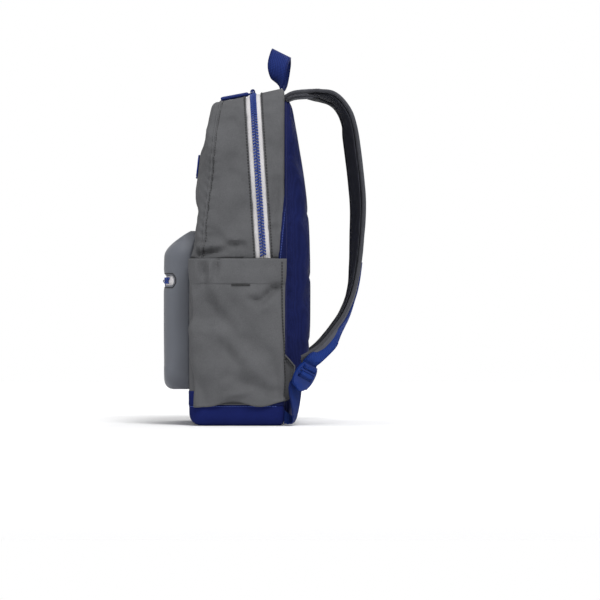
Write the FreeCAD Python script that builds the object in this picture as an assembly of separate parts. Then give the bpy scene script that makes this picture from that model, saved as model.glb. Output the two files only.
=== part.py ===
"""A daypack worn on two shoulder straps, as separate sewn, moulded and zipped pieces.

Millimetres. +Z is up and the origin is the middle of the base's flat underside. The wearer stands
at +Y, so the padded back faces +Y and the moulded front pocket faces -Y. The main compartment is
shut by one zip that runs over the top and down both sides. The part of the bag in front of that
zip is the flap: it folds forward about the line where the front panel meets the front pocket.
"""

import math
import os

import FreeCAD
import Part
from FreeCAD import Matrix, Vector

os.makedirs("parts", exist_ok=True)

# ---------------------------------------------------------------- driving dimensions
BODY_HALF_WIDTH = 150.0      # at the base, and up to TAPER_START
TOP_HALF_WIDTH = 143.0       # where the top corners begin
TAPER_START = 200.0
TOP_CORNER_Z = 470.5
TOP_CORNER_RADIUS = 78.0
FRONT_Y = -77.0              # the fabric front, at the base
REAR_Y = 55.0                # the seam between the side and the padded back
TOP_FRONT = (-41.0, 449.5)   # (y, z) of the top's front edge
TOP_REAR = (57.0, 471.5)
FRONT_BEND_Z = 309.7         # the front leans back above a long bend centred here
FRONT_BEND_RADIUS = 1000.0
WALL = 3.0                   # outer fabric, foam and lining together
BASE_RIM_Z = 30.0            # the blue base reaches this far up the sides
SEAM_IN = 14.0               # the front panel wraps this far round onto the sides

FLAP_Z = 282.0               # the flap folds here
FLAP_HINGE_Y = -71.8         # just in front of the front panel at FLAP_Z
FLAP_GAP = 0.3

ZIP_END_Z = 232.0            # the main zip ends here, under the side pockets' hems
ZIP_END_Y = 26.0
ZIP_TOP_Y = 11.0
ZIP_TOP_Z = 460.0
TAPE_HALF = 10.5             # half the zip's visible tape
TEETH_HALF = 3.8
CHAIN_GAP = 0.1              # half the gap between the two rows of teeth

POCKET_HALF_WIDTH = 112.0    # the moulded front pocket
POCKET_BOTTOM = 49.5
POCKET_TOP = 276.0
POCKET_FRONT_Y = -113.0
POCKET_WALL = 3.0
POCKET_ZIP_Z = 201.0
POCKET_ZIP_HALF = 7.0
POCKET_ZIP_END_Y = -103.0    # centre of the slot's round end, on the pocket's side
POCKET_SLIDER_X = -88.0

SIDE_POCKET_X = 161.0
SIDE_POCKET_TOP = 230.5
SIDE_POCKET_BOTTOM = 30.4
SIDE_POCKET_FRONT = -76.0
SIDE_POCKET_REAR = 54.8
HEM_DEPTH = 34.0
CLOTH = 1.6                  # one doubled layer of fabric

PAD_HALF_WIDTH = 133.0       # the padded back
PAD_BOTTOM = 8.0
PAD_TOP = 451.5
PAD_REAR_Y = 90.0

WEB_THICKNESS = 1.7
WEB_WIDTH = 25.0
HAUL_WIDTH = 30.0

FAR = 600.0                  # larger than the bag, for cutting boxes


# ---------------------------------------------------------------- small tools
def save(name, shape):
    """Write one sub-part as its own STEP file."""
    shape = shape.removeSplitter()
    shape.exportStep(os.path.join("parts", name + ".step"))
    print(f"{name:28s} solids {len(shape.Solids)}  volume {shape.Volume / 1000:9.2f} cm3  valid {shape.isValid()}")


def mirrored(shape):
    """The same piece on the bag's other side."""
    return shape.mirror(Vector(0, 0, 0), Vector(1, 0, 0))


def save_pair(name, shape):
    """A right-hand piece and its mirror image on the left."""
    save(name + "_right", shape)
    save(name + "_left", mirrored(shape))


def outline(corners, place):
    """A closed wire through corners (u, v, radius), each rounded by a tangent arc."""
    edges = []
    last = None
    count = len(corners)
    first_point = None
    for i in range(count):
        here = Vector(corners[i][0], corners[i][1], 0)
        before = Vector(corners[i - 1][0], corners[i - 1][1], 0)
        after = Vector(corners[(i + 1) % count][0], corners[(i + 1) % count][1], 0)
        radius = corners[i][2]
        back = (before - here).normalize()
        ahead = (after - here).normalize()
        if radius > 0:
            half_turn = (math.pi - back.getAngle(ahead)) / 2
            reach = radius * math.tan(half_turn)
            start = here + back * reach
            end = here + ahead * reach
            bisector = (back + ahead).normalize()
            middle = here + bisector * (radius / math.cos(half_turn) - radius)
        else:
            start = end = here
        if last is not None:
            edges.append(Part.makeLine(place(last), place(start)))
        else:
            first_point = start
        if radius > 0:
            edges.append(Part.Arc(place(start), place(middle), place(end)).toShape())
        last = end
    edges.append(Part.makeLine(place(last), place(first_point)))
    return Part.Wire(edges)


def side_prism(corners, x0, x1, inset=0.0):
    """A (y, z) outline, drawn in by inset, swept across the bag from x0 to x1."""
    wire = outline(corners, lambda p: Vector(x0, p.x, p.y))
    face = Part.Face(wire)
    if inset:
        face = face.makeOffset2D(-inset)
    return face.extrude(Vector(x1 - x0, 0, 0))


def front_prism(corners, y0, y1, inset=0.0):
    """An (x, z) outline, drawn in by inset, swept through the bag from y0 to y1."""
    wire = outline(corners, lambda p: Vector(p.x, y0, p.y))
    face = Part.Face(wire)
    if inset:
        face = face.makeOffset2D(-inset)
    return face.extrude(Vector(0, y1 - y0, 0))


def plan_prism(corners, z0, z1, inset=0.0):
    """An (x, y) outline, drawn in by inset, swept up from z0 to z1."""
    wire = outline(corners, lambda p: Vector(p.x, p.y, z0))
    face = Part.Face(wire)
    if inset:
        face = face.makeOffset2D(-inset)
    return face.extrude(Vector(0, 0, z1 - z0))


def box(x0, x1, y0, y1, z0, z1):
    return Part.makeBox(x1 - x0, y1 - y0, z1 - z0, Vector(x0, y0, z0))


def above(z):
    return box(-FAR, FAR, -FAR, FAR, z, 2 * FAR)


def below(z):
    return box(-FAR, FAR, -FAR, FAR, -FAR, z)


def placed(shape, origin, ex, ey, ez):
    """Move a shape from local axes to the frame with that origin and those unit axes."""
    turn = Matrix(
        ex.x, ey.x, ez.x, origin.x,
        ex.y, ey.y, ez.y, origin.y,
        ex.z, ey.z, ez.z, origin.z,
        0, 0, 0, 1,
    )
    return shape.transformGeometry(turn)


# ---------------------------------------------------------------- the bag's outer form
FRONT_SLOPE = (TOP_FRONT[0] - FRONT_Y) / (TOP_FRONT[1] - FRONT_BEND_Z)

SIDE_CORNERS = [
    (FRONT_Y, 0, 9),
    (REAR_Y, 0, 5),
    (REAR_Y, TOP_REAR[1] - 0.5, 9),
    (TOP_FRONT[0], TOP_FRONT[1], 14),
    (FRONT_Y, FRONT_BEND_Z, FRONT_BEND_RADIUS),
]
FACE_CORNERS = [
    (-BODY_HALF_WIDTH, 0, 14),
    (BODY_HALF_WIDTH, 0, 14),
    (BODY_HALF_WIDTH, TAPER_START, 900),
    (TOP_HALF_WIDTH, TOP_CORNER_Z + 1.5, TOP_CORNER_RADIUS),
    (-TOP_HALF_WIDTH, TOP_CORNER_Z + 1.5, TOP_CORNER_RADIUS),
    (-BODY_HALF_WIDTH, TAPER_START, 900),
]
PLAN_CORNERS = [
    (-BODY_HALF_WIDTH, FRONT_Y, 22),
    (BODY_HALF_WIDTH, FRONT_Y, 22),
    (BODY_HALF_WIDTH, REAR_Y, 6),
    (-BODY_HALF_WIDTH, REAR_Y, 6),
]


def body(inset):
    """The bag's closed form, drawn in by inset on every side."""
    form = side_prism(SIDE_CORNERS, -FAR, FAR, inset)
    form = form.common(front_prism(FACE_CORNERS, -FAR, FAR, inset))
    return form.common(plan_prism(PLAN_CORNERS, -FAR, FAR, inset))


def front_zone(depth):
    """Everything less than depth behind the bag's front surface."""
    top = 2 * FAR
    corners = [
        (-FAR, -FAR, 0),
        (FRONT_Y + depth, -FAR, 0),
        (FRONT_Y + depth, FRONT_BEND_Z, FRONT_BEND_RADIUS),
        (FRONT_Y + depth + FRONT_SLOPE * (top - FRONT_BEND_Z), top, 0),
        (-FAR, top, 0),
    ]
    return side_prism(corners, -FAR, FAR)


ZIP_TILT = math.degrees(math.atan((ZIP_END_Y - ZIP_TOP_Y) / (ZIP_TOP_Z - ZIP_END_Z)))


def zip_slab(d0, d1):
    """The slab from d0 in front of (-) to d1 behind (+) the zip's middle plane."""
    slab = box(-FAR, FAR, ZIP_END_Y + d0, ZIP_END_Y + d1, -FAR, 2 * FAR)
    slab.rotate(Vector(0, ZIP_END_Y, ZIP_END_Z), Vector(1, 0, 0), ZIP_TILT)
    return slab


OUTER = body(0)
INNER = body(WALL)
SHELL = OUTER.cut(INNER)
WALLS = SHELL.common(above(BASE_RIM_Z))
SIDES = WALLS.cut(front_zone(SEAM_IN)).common(box(-FAR, FAR, -FAR, REAR_Y - WALL, -FAR, 2 * FAR))


# ---------------------------------------------------------------- fabric panels of the bag
def fabric_panels():
    save("base_panel", SHELL.common(below(BASE_RIM_Z)))
    inside = body(WALL + 0.4)
    save("base_board", inside.common(below(WALL + 3.4)))

    front = WALLS.common(front_zone(SEAM_IN))
    save("front_panel", front.common(below(FLAP_Z)))
    save("flap_front_panel", front.common(above(FLAP_Z + FLAP_GAP)))

    zip_band = zip_slab(-TAPE_HALF, TAPE_HALF).common(above(ZIP_END_Z))
    lower = SIDES.common(below(FLAP_Z)).cut(zip_band)
    save_pair("side_panel", lower.common(box(0, FAR, -FAR, FAR, -FAR, 2 * FAR)))

    upper = SIDES.common(above(FLAP_Z))
    save("rear_gusset", upper.common(zip_slab(TAPE_HALF, FAR)))
    flap_side = SIDES.common(above(FLAP_Z + FLAP_GAP)).common(zip_slab(-FAR, -TAPE_HALF))
    save("flap_gusset", flap_side)

    rear = WALLS.common(box(-FAR, FAR, REAR_Y - WALL, FAR, -FAR, 2 * FAR))
    save("back_lining", rear)


def inside_pieces():
    """The stiffening board and the padded sleeve that the bag holds against its back."""
    board_y = REAR_Y - WALL - 0.4
    save("back_board", front_prism(
        [(-118, 12, 18), (118, 12, 18), (118, 430, 60), (-118, 430, 60)], board_y - 2.4, board_y))
    sleeve = [(-115, 12, 12), (115, 12, 12), (115, 300, 4), (-115, 300, 4)]
    sleeve_y = board_y - 2.8
    pouch = front_prism(sleeve, sleeve_y - 24, sleeve_y)
    hollow = front_prism(sleeve, sleeve_y - 20, sleeve_y - 2, 3).fuse(
        box(-112, 112, sleeve_y - 20, sleeve_y - 2, 280, 310))
    save("laptop_sleeve", pouch.cut(hollow))


# ---------------------------------------------------------------- main zip
def main_zip():
    tape = body(0.9).cut(body(2.0)).common(above(ZIP_END_Z))
    chain = body(-0.7).cut(body(2.6)).common(above(ZIP_END_Z))
    tape = tape.common(box(-FAR, FAR, -FAR, REAR_Y, -FAR, 2 * FAR))
    halves = {"front": (-1, FLAP_Z + FLAP_GAP), "rear": (1, ZIP_END_Z)}
    for half, (sign, start_z) in halves.items():
        tape_slab = sorted((sign * TAPE_HALF, sign * TEETH_HALF))
        chain_slab = sorted((sign * TEETH_HALF, sign * CHAIN_GAP))
        save(f"zip_tape_{half}", tape.common(zip_slab(*tape_slab)).common(above(start_z)))
        save(f"zip_teeth_{half}", chain.common(zip_slab(*chain_slab)).common(above(start_z)))
    front_ends = tape.common(zip_slab(-TAPE_HALF, -TEETH_HALF)).common(below(FLAP_Z))
    save("zip_tape_front_ends", front_ends)
    save("zip_teeth_front_ends", chain.common(zip_slab(-TEETH_HALF, -CHAIN_GAP)).common(below(FLAP_Z)))


TOP_SLOPE = math.atan2(TOP_REAR[1] - 0.5 - TOP_FRONT[1], REAR_Y - TOP_FRONT[0])
SLIDER_X = 9.5
SLIDER_Y = ZIP_TOP_Y + 0.4
SLIDER_LIFT = 1.3            # above the fabric, clear of the teeth


def top_point(y, lift):
    """A point above the bag's sloping top, lift from its surface."""
    z = TOP_FRONT[1] + (y - TOP_FRONT[0]) * math.tan(TOP_SLOPE)
    return Vector(0, y - lift * math.sin(TOP_SLOPE), z + lift * math.cos(TOP_SLOPE))


def pull_ring(outer, inner, z):
    """The ring by which a pull turns on its slider's bridge."""
    start = Vector(-2.2, 0, z)
    ring = Part.makeCylinder(outer, 4.4, start, Vector(1, 0, 0))
    return ring.cut(Part.makeCylinder(inner, 4.4, start, Vector(1, 0, 0)))


def zip_sliders():
    """Two sliders that meet at the middle of the top, each with a corded pull lying forward."""
    along = Vector(0, math.cos(TOP_SLOPE), math.sin(TOP_SLOPE))
    up = Vector(0, -math.sin(TOP_SLOPE), math.cos(TOP_SLOPE))
    seat = top_point(SLIDER_Y, SLIDER_LIFT) + Vector(SLIDER_X, 0, 0)
    plate = plan_prism([(-7, -5, 3), (7, -4, 2), (7, 4, 2), (-7, 5, 3)], 0, 2.2)
    posts = box(-4, -2.7, -1.2, 1.2, 2.2, 6.6).fuse(box(2.7, 4, -1.2, 1.2, 2.2, 6.6))
    bridge = box(-4, 4, -1.2, 1.2, 5.4, 6.6)
    slider = plate.fuse(posts).fuse(bridge)
    save_pair("zip_slider", placed(slider, seat, Vector(1, 0, 0), along, up))

    neck = box(-1.8, 1.8, -14, -2.4, 3.0, 4.8).fuse(pull_ring(3.5, 1.8, 6.0))
    save_pair("pull_loop", placed(neck, seat, Vector(1, 0, 0), along, up))

    grip = Part.makeCylinder(2.9, 32, Vector(0, -11.8, 3.9), Vector(0, -1, 0))
    grip = grip.fuse(Part.makeSphere(2.9, Vector(0, -43.8, 3.9)))
    grip = grip.cut(box(-2.0, 2.0, -14.2, -11, 2.8, 5.0))
    save_pair("pull_grip", placed(grip, seat, Vector(1, 0, 0), along, up))


# ---------------------------------------------------------------- moulded front pocket
POCKET_SIDE = [
    (-45, POCKET_BOTTOM, 0),
    (POCKET_FRONT_Y, POCKET_BOTTOM, 11),
    (POCKET_FRONT_Y + 3.5, 243, 22),
    (-88, 263.5, 40),
    (-62, POCKET_TOP, 0),
    (-45, POCKET_TOP, 0),
]
POCKET_FACE = [
    (-POCKET_HALF_WIDTH, POCKET_BOTTOM, 26),
    (POCKET_HALF_WIDTH, POCKET_BOTTOM, 26),
    (POCKET_HALF_WIDTH, POCKET_TOP, 40),
    (-POCKET_HALF_WIDTH, POCKET_TOP, 40),
]
PLAN_REACH = POCKET_HALF_WIDTH + 0.8   # so that the corner rounds cross the sides cleanly
POCKET_PLAN = [
    (-PLAN_REACH, POCKET_FRONT_Y, 20),
    (PLAN_REACH, POCKET_FRONT_Y, 20),
    (PLAN_REACH, -40, 0),
    (-PLAN_REACH, -40, 0),
]


def pocket_form(inset):
    form = side_prism(POCKET_SIDE, -FAR, FAR, inset)
    form = form.common(front_prism(POCKET_FACE, -FAR, FAR, inset))
    return form.common(plan_prism(POCKET_PLAN, -FAR, FAR, inset))


def pocket_slot(half):
    """The zip's slot: a straight band across the front with a round end on each side."""
    end = POCKET_ZIP_END_Y + half
    low = POCKET_ZIP_Z - half
    high = POCKET_ZIP_Z + half
    corners = [(-FAR, low, 0), (end, low, half - 0.05), (end, high, half - 0.05), (-FAR, high, 0)]
    return side_prism(corners, -FAR, FAR)


def front_pocket():
    shell = pocket_form(0).cut(pocket_form(POCKET_WALL)).cut(OUTER)
    save("pocket_shell", shell.cut(pocket_slot(POCKET_ZIP_HALF)))
    tape = pocket_form(1.6).cut(pocket_form(2.7)).common(pocket_slot(POCKET_ZIP_HALF - 0.1))
    teeth_zone = pocket_slot(TEETH_HALF + 0.2)
    zone = box(-FAR, FAR, -FAR, -90, -FAR, FAR)
    save("pocket_zip_tape", tape.cut(teeth_zone).common(zone))
    chain = pocket_form(0.8).cut(pocket_form(3.3)).common(pocket_slot(TEETH_HALF)).common(zone)
    save("pocket_zip_teeth", chain)

    seat = Vector(POCKET_SLIDER_X, POCKET_FRONT_Y + 0.3, POCKET_ZIP_Z)
    across, up, out = Vector(1, 0, 0), Vector(0, 0, 1), Vector(0, -1, 0)
    plate = plan_prism([(-6.5, -5, 3), (6.5, -4, 2), (6.5, 4, 2), (-6.5, 5, 3)], 0, 2.0)
    posts = box(-4, -2.7, -0.9, 0.9, 2.0, 5.2).fuse(box(2.7, 4, -0.9, 0.9, 2.0, 5.2))
    slider = plate.fuse(posts).fuse(box(-4, 4, -0.9, 0.9, 4.2, 5.2))
    save("pocket_slider", placed(slider, seat, across, up, out))
    pull = plan_prism([(-2.3, -32, 2.2), (2.3, -32, 2.2), (2.3, -1.8, 0), (-2.3, -1.8, 0)], 3.2, 4.6)
    pull = pull.fuse(pull_ring(2.5, 1.3, 4.7))
    save("pocket_pull", placed(pull, seat, across, up, out))


# ---------------------------------------------------------------- side pockets
def side_pocket_form(grow, z0, z1):
    """The open-topped pouch's outer form on the right side, grown outwards by grow."""
    x_out = SIDE_POCKET_X + grow
    plan = [
        (118, SIDE_POCKET_FRONT - grow, 0),
        (x_out, SIDE_POCKET_FRONT - grow, 14),
        (x_out, SIDE_POCKET_REAR + min(grow, 0), 8),
        (118, SIDE_POCKET_REAR + min(grow, 0), 0),
    ]
    return plan_prism(plan, z0, z1)


def side_pockets():
    outer = side_pocket_form(0, SIDE_POCKET_BOTTOM, SIDE_POCKET_TOP)
    inner = side_pocket_form(-CLOTH, SIDE_POCKET_BOTTOM + CLOTH, 2 * FAR)
    save_pair("side_pocket", outer.cut(inner).cut(OUTER))
    hem_z = SIDE_POCKET_TOP - HEM_DEPTH
    hem = side_pocket_form(1.3, hem_z, SIDE_POCKET_TOP + 1)
    hem = hem.cut(side_pocket_form(0.1, hem_z - 1, SIDE_POCKET_TOP + 2)).cut(OUTER)
    save_pair("side_pocket_hem", hem)


# ---------------------------------------------------------------- padded back
def padded_back():
    corners = [
        (REAR_Y + 0.3, PAD_BOTTOM, 2),
        (62.5, PAD_BOTTOM - 1, 3),
        (PAD_REAR_Y, 75.4, 355),
        (PAD_REAR_Y, 301.4, 1560),
        (62, PAD_TOP, 3),
        (REAR_Y + 0.3, PAD_TOP, 2),
    ]
    face = [
        (-PAD_HALF_WIDTH, PAD_BOTTOM - 1, 24),
        (PAD_HALF_WIDTH, PAD_BOTTOM - 1, 24),
        (PAD_HALF_WIDTH, PAD_TOP, 66),
        (-PAD_HALF_WIDTH, PAD_TOP, 66),
    ]
    pad = side_prism(corners, -FAR, FAR).common(front_prism(face, -FAR, FAR))
    save("back_pad", pad)
    board_zone = front_prism([(x * 1.02, z, r) for x, z, r in face], REAR_Y, REAR_Y + 0.25)
    save("back_seam_tape", board_zone.cut(front_prism(face, -FAR, FAR, 9)))


# ---------------------------------------------------------------- straps and webbing
def section(point, across, normal, width, low, high):
    """A rectangle across a band: width wide, from low to high along its outer normal."""
    corners = [(-1, low), (1, low), (1, high), (-1, high)]
    points = [point + across * (side * width / 2) + normal * lift for side, lift in corners]
    return Part.Wire([Part.makeLine(points[i], points[(i + 1) % 4]) for i in range(4)])


def directions(points, twists):
    """For each point of a strap: its width direction and its outer normal."""
    found = []
    for i, twist in enumerate(twists):
        tangent = (points[min(i + 1, len(points) - 1)] - points[max(i - 1, 0)]).normalize()
        across = Vector(1, 0, 0) - tangent * tangent.x
        across.normalize()
        normal = across.cross(tangent)
        turn = math.radians(twist)
        found.append((across * math.cos(turn) - normal * math.sin(turn),
                      normal * math.cos(turn) + across * math.sin(turn)))
    return found


def band(sections, ruled=False):
    return Part.makeLoft(sections, True, ruled)


# x, y, z, twist in degrees (the outer face turns outwards), width, thickness
STRAP = [
    (58, 58.8, 458, 0, 62, 9),
    (59, 71, 462.5, 0, 62, 10),
    (61, 92, 463.5, 0, 62, 11),
    (66, 110, 461, -2, 62, 11),
    (74, 127, 453, -5, 61, 11),
    (84, 140.5, 433.5, -9, 60, 11),
    (92, 147.5, 406, -13, 60, 11),
    (97, 153.5, 360, -13.5, 59, 11),
    (100, 158, 312, -13.5, 58, 11),
    (103, 157, 268, -12, 56, 11),
    (108, 154.5, 225, -8, 53, 11),
    (115, 149.5, 187, -2, 47, 11),
    (124, 138.5, 154, 6, 41, 11),
    (133, 124, 130, 14, 36, 11),
    (142, 107.5, 109.5, 20, 31, 11),
    (149, 92, 97.5, 27, 27, 8),
    (152, 78, 90.5, 30, 20, 5),
]
FOLD_START, FOLD_END = 1, 2   # the strap bends at its root between these stations

LOCK_TWIST = math.radians(47)
LOCK_UP = Vector(0, 0.482, 0.876)
LOCK_BASE_NORMAL = Vector(0, 0.876, -0.482)
LOCK_OUT = LOCK_BASE_NORMAL * math.cos(LOCK_TWIST) + Vector(1, 0, 0) * math.sin(LOCK_TWIST)
LOCK_ACROSS = Vector(1, 0, 0) * math.cos(LOCK_TWIST) - LOCK_BASE_NORMAL * math.sin(LOCK_TWIST)
LOCK_BAR = Vector(154, 90, 81)     # the bar that the strap's webbing loop turns on
LOCK_BAR_RADIUS = 2.0
LOCK_HALF_WIDTH = 17.5
LOCK_RAIL = 3.8

# Lower webbing below the ladder lock: x, y, z, twist
LOWER_WEB = [(148.5, 70, 44, 40), (147.5, 70.5, 28, 25), (144.5, 70, 14, 12), (141, 69, 5, 4)]


def lock_point(across, up, out):
    return LOCK_BAR + LOCK_ACROSS * across + LOCK_UP * up + LOCK_OUT * out


def strap_layers(first, last, low_share, high_share, narrower=0.0):
    """Loft the strap between two stations, from low_share to high_share of half its thickness."""
    points = [Vector(*s[:3]) for s in STRAP]
    frames = directions(points, [s[3] for s in STRAP])
    sections = []
    for i in range(first, last + 1):
        half = STRAP[i][5] / 2
        across, normal = frames[i]
        sections.append(section(points[i], across, normal, STRAP[i][4] - narrower,
                                low_share * half, high_share * half))
    return band(sections)


def strap_webbing():
    """Webbing sewn to the outer face of the strap's lower part, and on to the ladder lock."""
    points = [Vector(*s[:3]) for s in STRAP]
    frames = directions(points, [s[3] for s in STRAP])
    lift = 11 / 2 + 1.9
    sections = []
    for i in range(10, 15):
        across, normal = frames[i]
        sections.append(section(points[i], across, normal, WEB_WIDTH, lift, lift + WEB_THICKNESS))
    for up, out, turn in ((14, 0.5, 0.35), (7, -2.4, 0.12)):
        across = (LOCK_ACROSS * (1 - turn) + frames[14][0] * turn).normalize()
        normal = across.cross(LOCK_UP * -1).normalize()
        sections.append(section(lock_point(0, up, out), across, normal, WEB_WIDTH,
                                -WEB_THICKNESS / 2, WEB_THICKNESS / 2))
    loop_out = -(LOCK_BAR_RADIUS + 0.35 + WEB_THICKNESS / 2)
    sections.append(section(lock_point(0, 0.2, loop_out), LOCK_ACROSS, LOCK_OUT, WEB_WIDTH,
                            -WEB_THICKNESS / 2, WEB_THICKNESS / 2))
    return band(sections, ruled=True)


def lock_loop():
    """The webbing's sewn end, turned round the ladder lock's bar."""
    inner = LOCK_BAR_RADIUS + 0.35
    outer = inner + WEB_THICKNESS
    ring = Part.makeCylinder(outer, WEB_WIDTH, Vector(-WEB_WIDTH / 2, 0, 0), Vector(1, 0, 0))
    ring = ring.cut(Part.makeCylinder(inner, WEB_WIDTH, Vector(-WEB_WIDTH / 2, 0, 0), Vector(1, 0, 0)))
    ring = ring.cut(box(-20, 20, 0, 20, -20, 0))
    return placed(ring, LOCK_BAR, LOCK_ACROSS, LOCK_UP, LOCK_OUT)


def ladder_lock():
    """A moulded frame: hinge bar, adjusting bar and a lifting lip that curves outwards."""
    w = LOCK_HALF_WIDTH
    window = w - LOCK_RAIL
    plate = plan_prism([(-w, -34, 15), (w, -34, 15), (w, 2.6, 2), (-w, 2.6, 2)], -2.4, 2.4)
    plate = plate.cut(box(-window, window, -19.8, 5, -5, 5))
    plate = plate.cut(box(-w - 1, w + 1, -40, -27, -5, 5))
    bar = Part.makeCylinder(LOCK_BAR_RADIUS, 2 * window + 1, Vector(-window - 0.5, 0, 0), Vector(1, 0, 0))
    second = Part.makeCylinder(1.9, 2 * window + 1, Vector(-window - 0.5, -12, 0), Vector(1, 0, 0))
    lip = side_prism([(-20.5, -2.4, 0), (-31, -2.4, 1), (-35, 1.2, 1), (-33.5, 3.2, 1), (-29, 2.4, 2),
                      (-20.5, 2.4, 0)], -12, 12)
    return placed(plate.fuse([bar, second, lip]), LOCK_BAR, LOCK_ACROSS, LOCK_UP, LOCK_OUT)


def lock_wrap():
    """The adjusting webbing's turn over the ladder lock's second bar."""
    inner = 2.0
    outer = inner + WEB_THICKNESS
    ring = Part.makeCylinder(outer, WEB_WIDTH, Vector(-WEB_WIDTH / 2, -12, 0), Vector(1, 0, 0))
    ring = ring.cut(Part.makeCylinder(inner, WEB_WIDTH, Vector(-WEB_WIDTH / 2, -12, 0), Vector(1, 0, 0)))
    ring = ring.cut(box(-20, 20, -20, -12, -20, 0))
    return placed(ring, LOCK_BAR, LOCK_ACROSS, LOCK_UP, LOCK_OUT)


def lower_webbing():
    """From behind the ladder lock's adjusting bar down to the bag's rear bottom corner."""
    half = WEB_THICKNESS / 2
    sections = []
    for up, out in ((-12.3, -2.9), (-17.5, -4.9), (-24, -5.8), (-31, -6.2)):
        sections.append(section(lock_point(0, up, out), LOCK_ACROSS, LOCK_OUT, WEB_WIDTH, -half, half))
    points = [Vector(*w[:3]) for w in LOWER_WEB]
    frames = directions(points, [w[3] for w in LOWER_WEB])
    for point, (across, normal) in zip(points, frames):
        sections.append(section(point, across, normal, WEB_WIDTH, -half, half))
    return band(sections, ruled=True)


def webbing_tail():
    """The adjusting webbing's sewn end, through the lower slot and just out below the lip."""
    half = WEB_THICKNESS / 2
    sections = []
    for up, out in ((-16.6, 0.4), (-17.7, -2.5), (-21, -3.6), (-30, -3.8)):
        sections.append(section(lock_point(0, up, out), LOCK_ACROSS, LOCK_OUT, WEB_WIDTH - 1, -half, half))
    return band(sections, ruled=True)


def straps():
    last = len(STRAP) - 1
    save_pair("strap_root", strap_layers(0, FOLD_START, -1, 1))
    save_pair("strap_fold", strap_layers(FOLD_START, FOLD_END, -1, 1))
    save_pair("strap_pad", strap_layers(FOLD_END, last, -0.36, 1))
    save_pair("strap_liner", strap_layers(FOLD_END, last, -1, -0.42, 3))
    save_pair("strap_webbing", strap_webbing().fuse(lock_loop()))
    save_pair("ladder_lock", ladder_lock())
    save_pair("webbing_tail", lock_wrap().fuse(webbing_tail()))
    save_pair("lower_webbing", lower_webbing())
    anchor = [(REAR_Y + 0.4, 3, 0), (66, 3.5, 2), (66, 13, 2), (REAR_Y + 0.4, 22, 0)]
    save_pair("web_anchor", side_prism(anchor, 134.5, 148.5))
    wing = [(REAR_Y + 0.6, 34, 0), (64, 39, 4), (69, 82, 4), (REAR_Y + 0.6, 97, 0)]
    save_pair("wing_tab", side_prism(wing, 134, 137.5))


HAUL_LOOP = [
    ((32, 49, 472.2), (1, 0, 0)),
    ((34.5, 46.5, 488), (0.72, 0.69, 0)),
    ((29, 45.5, 505), (0.40, 0.90, -0.15)),
    ((15, 49, 519), (0.12, 0.91, -0.39)),
    ((0, 50.5, 522.5), (0, 0.894, -0.447)),
]


def haul_loop():
    """The webbing grab loop, flat in the seam at each foot and turned edgeways at its top."""
    left = [((-p[0], p[1], p[2]), (-d[0], d[1], d[2])) for p, d in reversed(HAUL_LOOP[:-1])]
    stations = HAUL_LOOP + left
    points = [Vector(*p) for p, _ in stations]
    sections = []
    last = len(stations) - 1
    for i, (_, direction) in enumerate(stations):
        tangent = (points[min(i + 1, last)] - points[max(i - 1, 0)]).normalize()
        if i == 0:
            tangent = Vector(0, 0, 1)
        if i == last:
            tangent = Vector(0, 0, -1)
        across = Vector(*direction)
        across = (across - tangent * across.dot(tangent)).normalize()
        sections.append(section(points[i], across, tangent.cross(across), HAUL_WIDTH, -1.1, 1.1))
    save("haul_loop", band(sections))
    foot = box(32 - HAUL_WIDTH / 2, 32 + HAUL_WIDTH / 2, 47.9, 50.1, 460, 471.2).cut(OUTER)
    save_pair("haul_loop_foot", foot)


def label():
    """A plain sewn label on the flap's front."""
    patch = front_prism([(-28, 346, 2), (28, 346, 2), (28, 378, 2), (-28, 378, 2)], -FAR, 0)
    save("label_patch", patch.common(front_zone(0)).cut(front_zone(-1.6)))


fabric_panels()
inside_pieces()
main_zip()
zip_sliders()
front_pocket()
side_pockets()
padded_back()
straps()
haul_loop()
label()
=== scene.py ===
import math

import bmesh
import bpy
from mathutils import Matrix, Vector, noise


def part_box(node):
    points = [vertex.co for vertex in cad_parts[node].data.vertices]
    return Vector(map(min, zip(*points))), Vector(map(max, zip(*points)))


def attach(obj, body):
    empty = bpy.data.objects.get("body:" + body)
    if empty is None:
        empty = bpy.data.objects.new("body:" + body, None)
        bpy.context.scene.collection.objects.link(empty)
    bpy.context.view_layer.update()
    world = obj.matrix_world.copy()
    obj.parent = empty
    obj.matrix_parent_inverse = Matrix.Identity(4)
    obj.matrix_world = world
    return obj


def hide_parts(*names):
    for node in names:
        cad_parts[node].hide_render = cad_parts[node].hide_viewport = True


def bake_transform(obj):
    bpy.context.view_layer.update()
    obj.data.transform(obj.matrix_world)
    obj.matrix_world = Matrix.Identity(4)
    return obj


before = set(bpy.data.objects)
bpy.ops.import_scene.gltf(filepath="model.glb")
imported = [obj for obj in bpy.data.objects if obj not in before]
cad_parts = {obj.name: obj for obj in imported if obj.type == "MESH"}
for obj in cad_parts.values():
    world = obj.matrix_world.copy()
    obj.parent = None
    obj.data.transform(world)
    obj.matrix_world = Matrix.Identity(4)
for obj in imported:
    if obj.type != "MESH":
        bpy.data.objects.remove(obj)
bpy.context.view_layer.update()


# ---------------------------------------------------------------- The bag's body
# A soft box of grey woven cloth over foam, sewn from a front panel, sides and gussets. The cloth is
# blown out a little from inside, as a part-filled bag is, and stays held in along its seams.
BAG_HALF = 0.150
BAG_FRONT = -0.077
BAG_REAR = 0.055
BAG_TOP = 0.4710
BASE_RIM = 0.029
FRONT_SEAM = BAG_FRONT + 0.0125
ZIP_END = 0.232
FABRIC = 0.0024
ZIP_LINE = Vector((0, 0.026, 0.232))
ZIP_ACROSS = Vector((0, 228, 15)).normalized()
FRONT_ROUND, REAR_ROUND, TOP_ROUND, BASE_ROUND = 0.017, 0.007, 0.078, 0.014
UPWARD_TAPER = 0.047
TOP_SLOPE = 0.224
CLOTH_STEP = 0.0065
BLOW_FRAMES = 16


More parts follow.
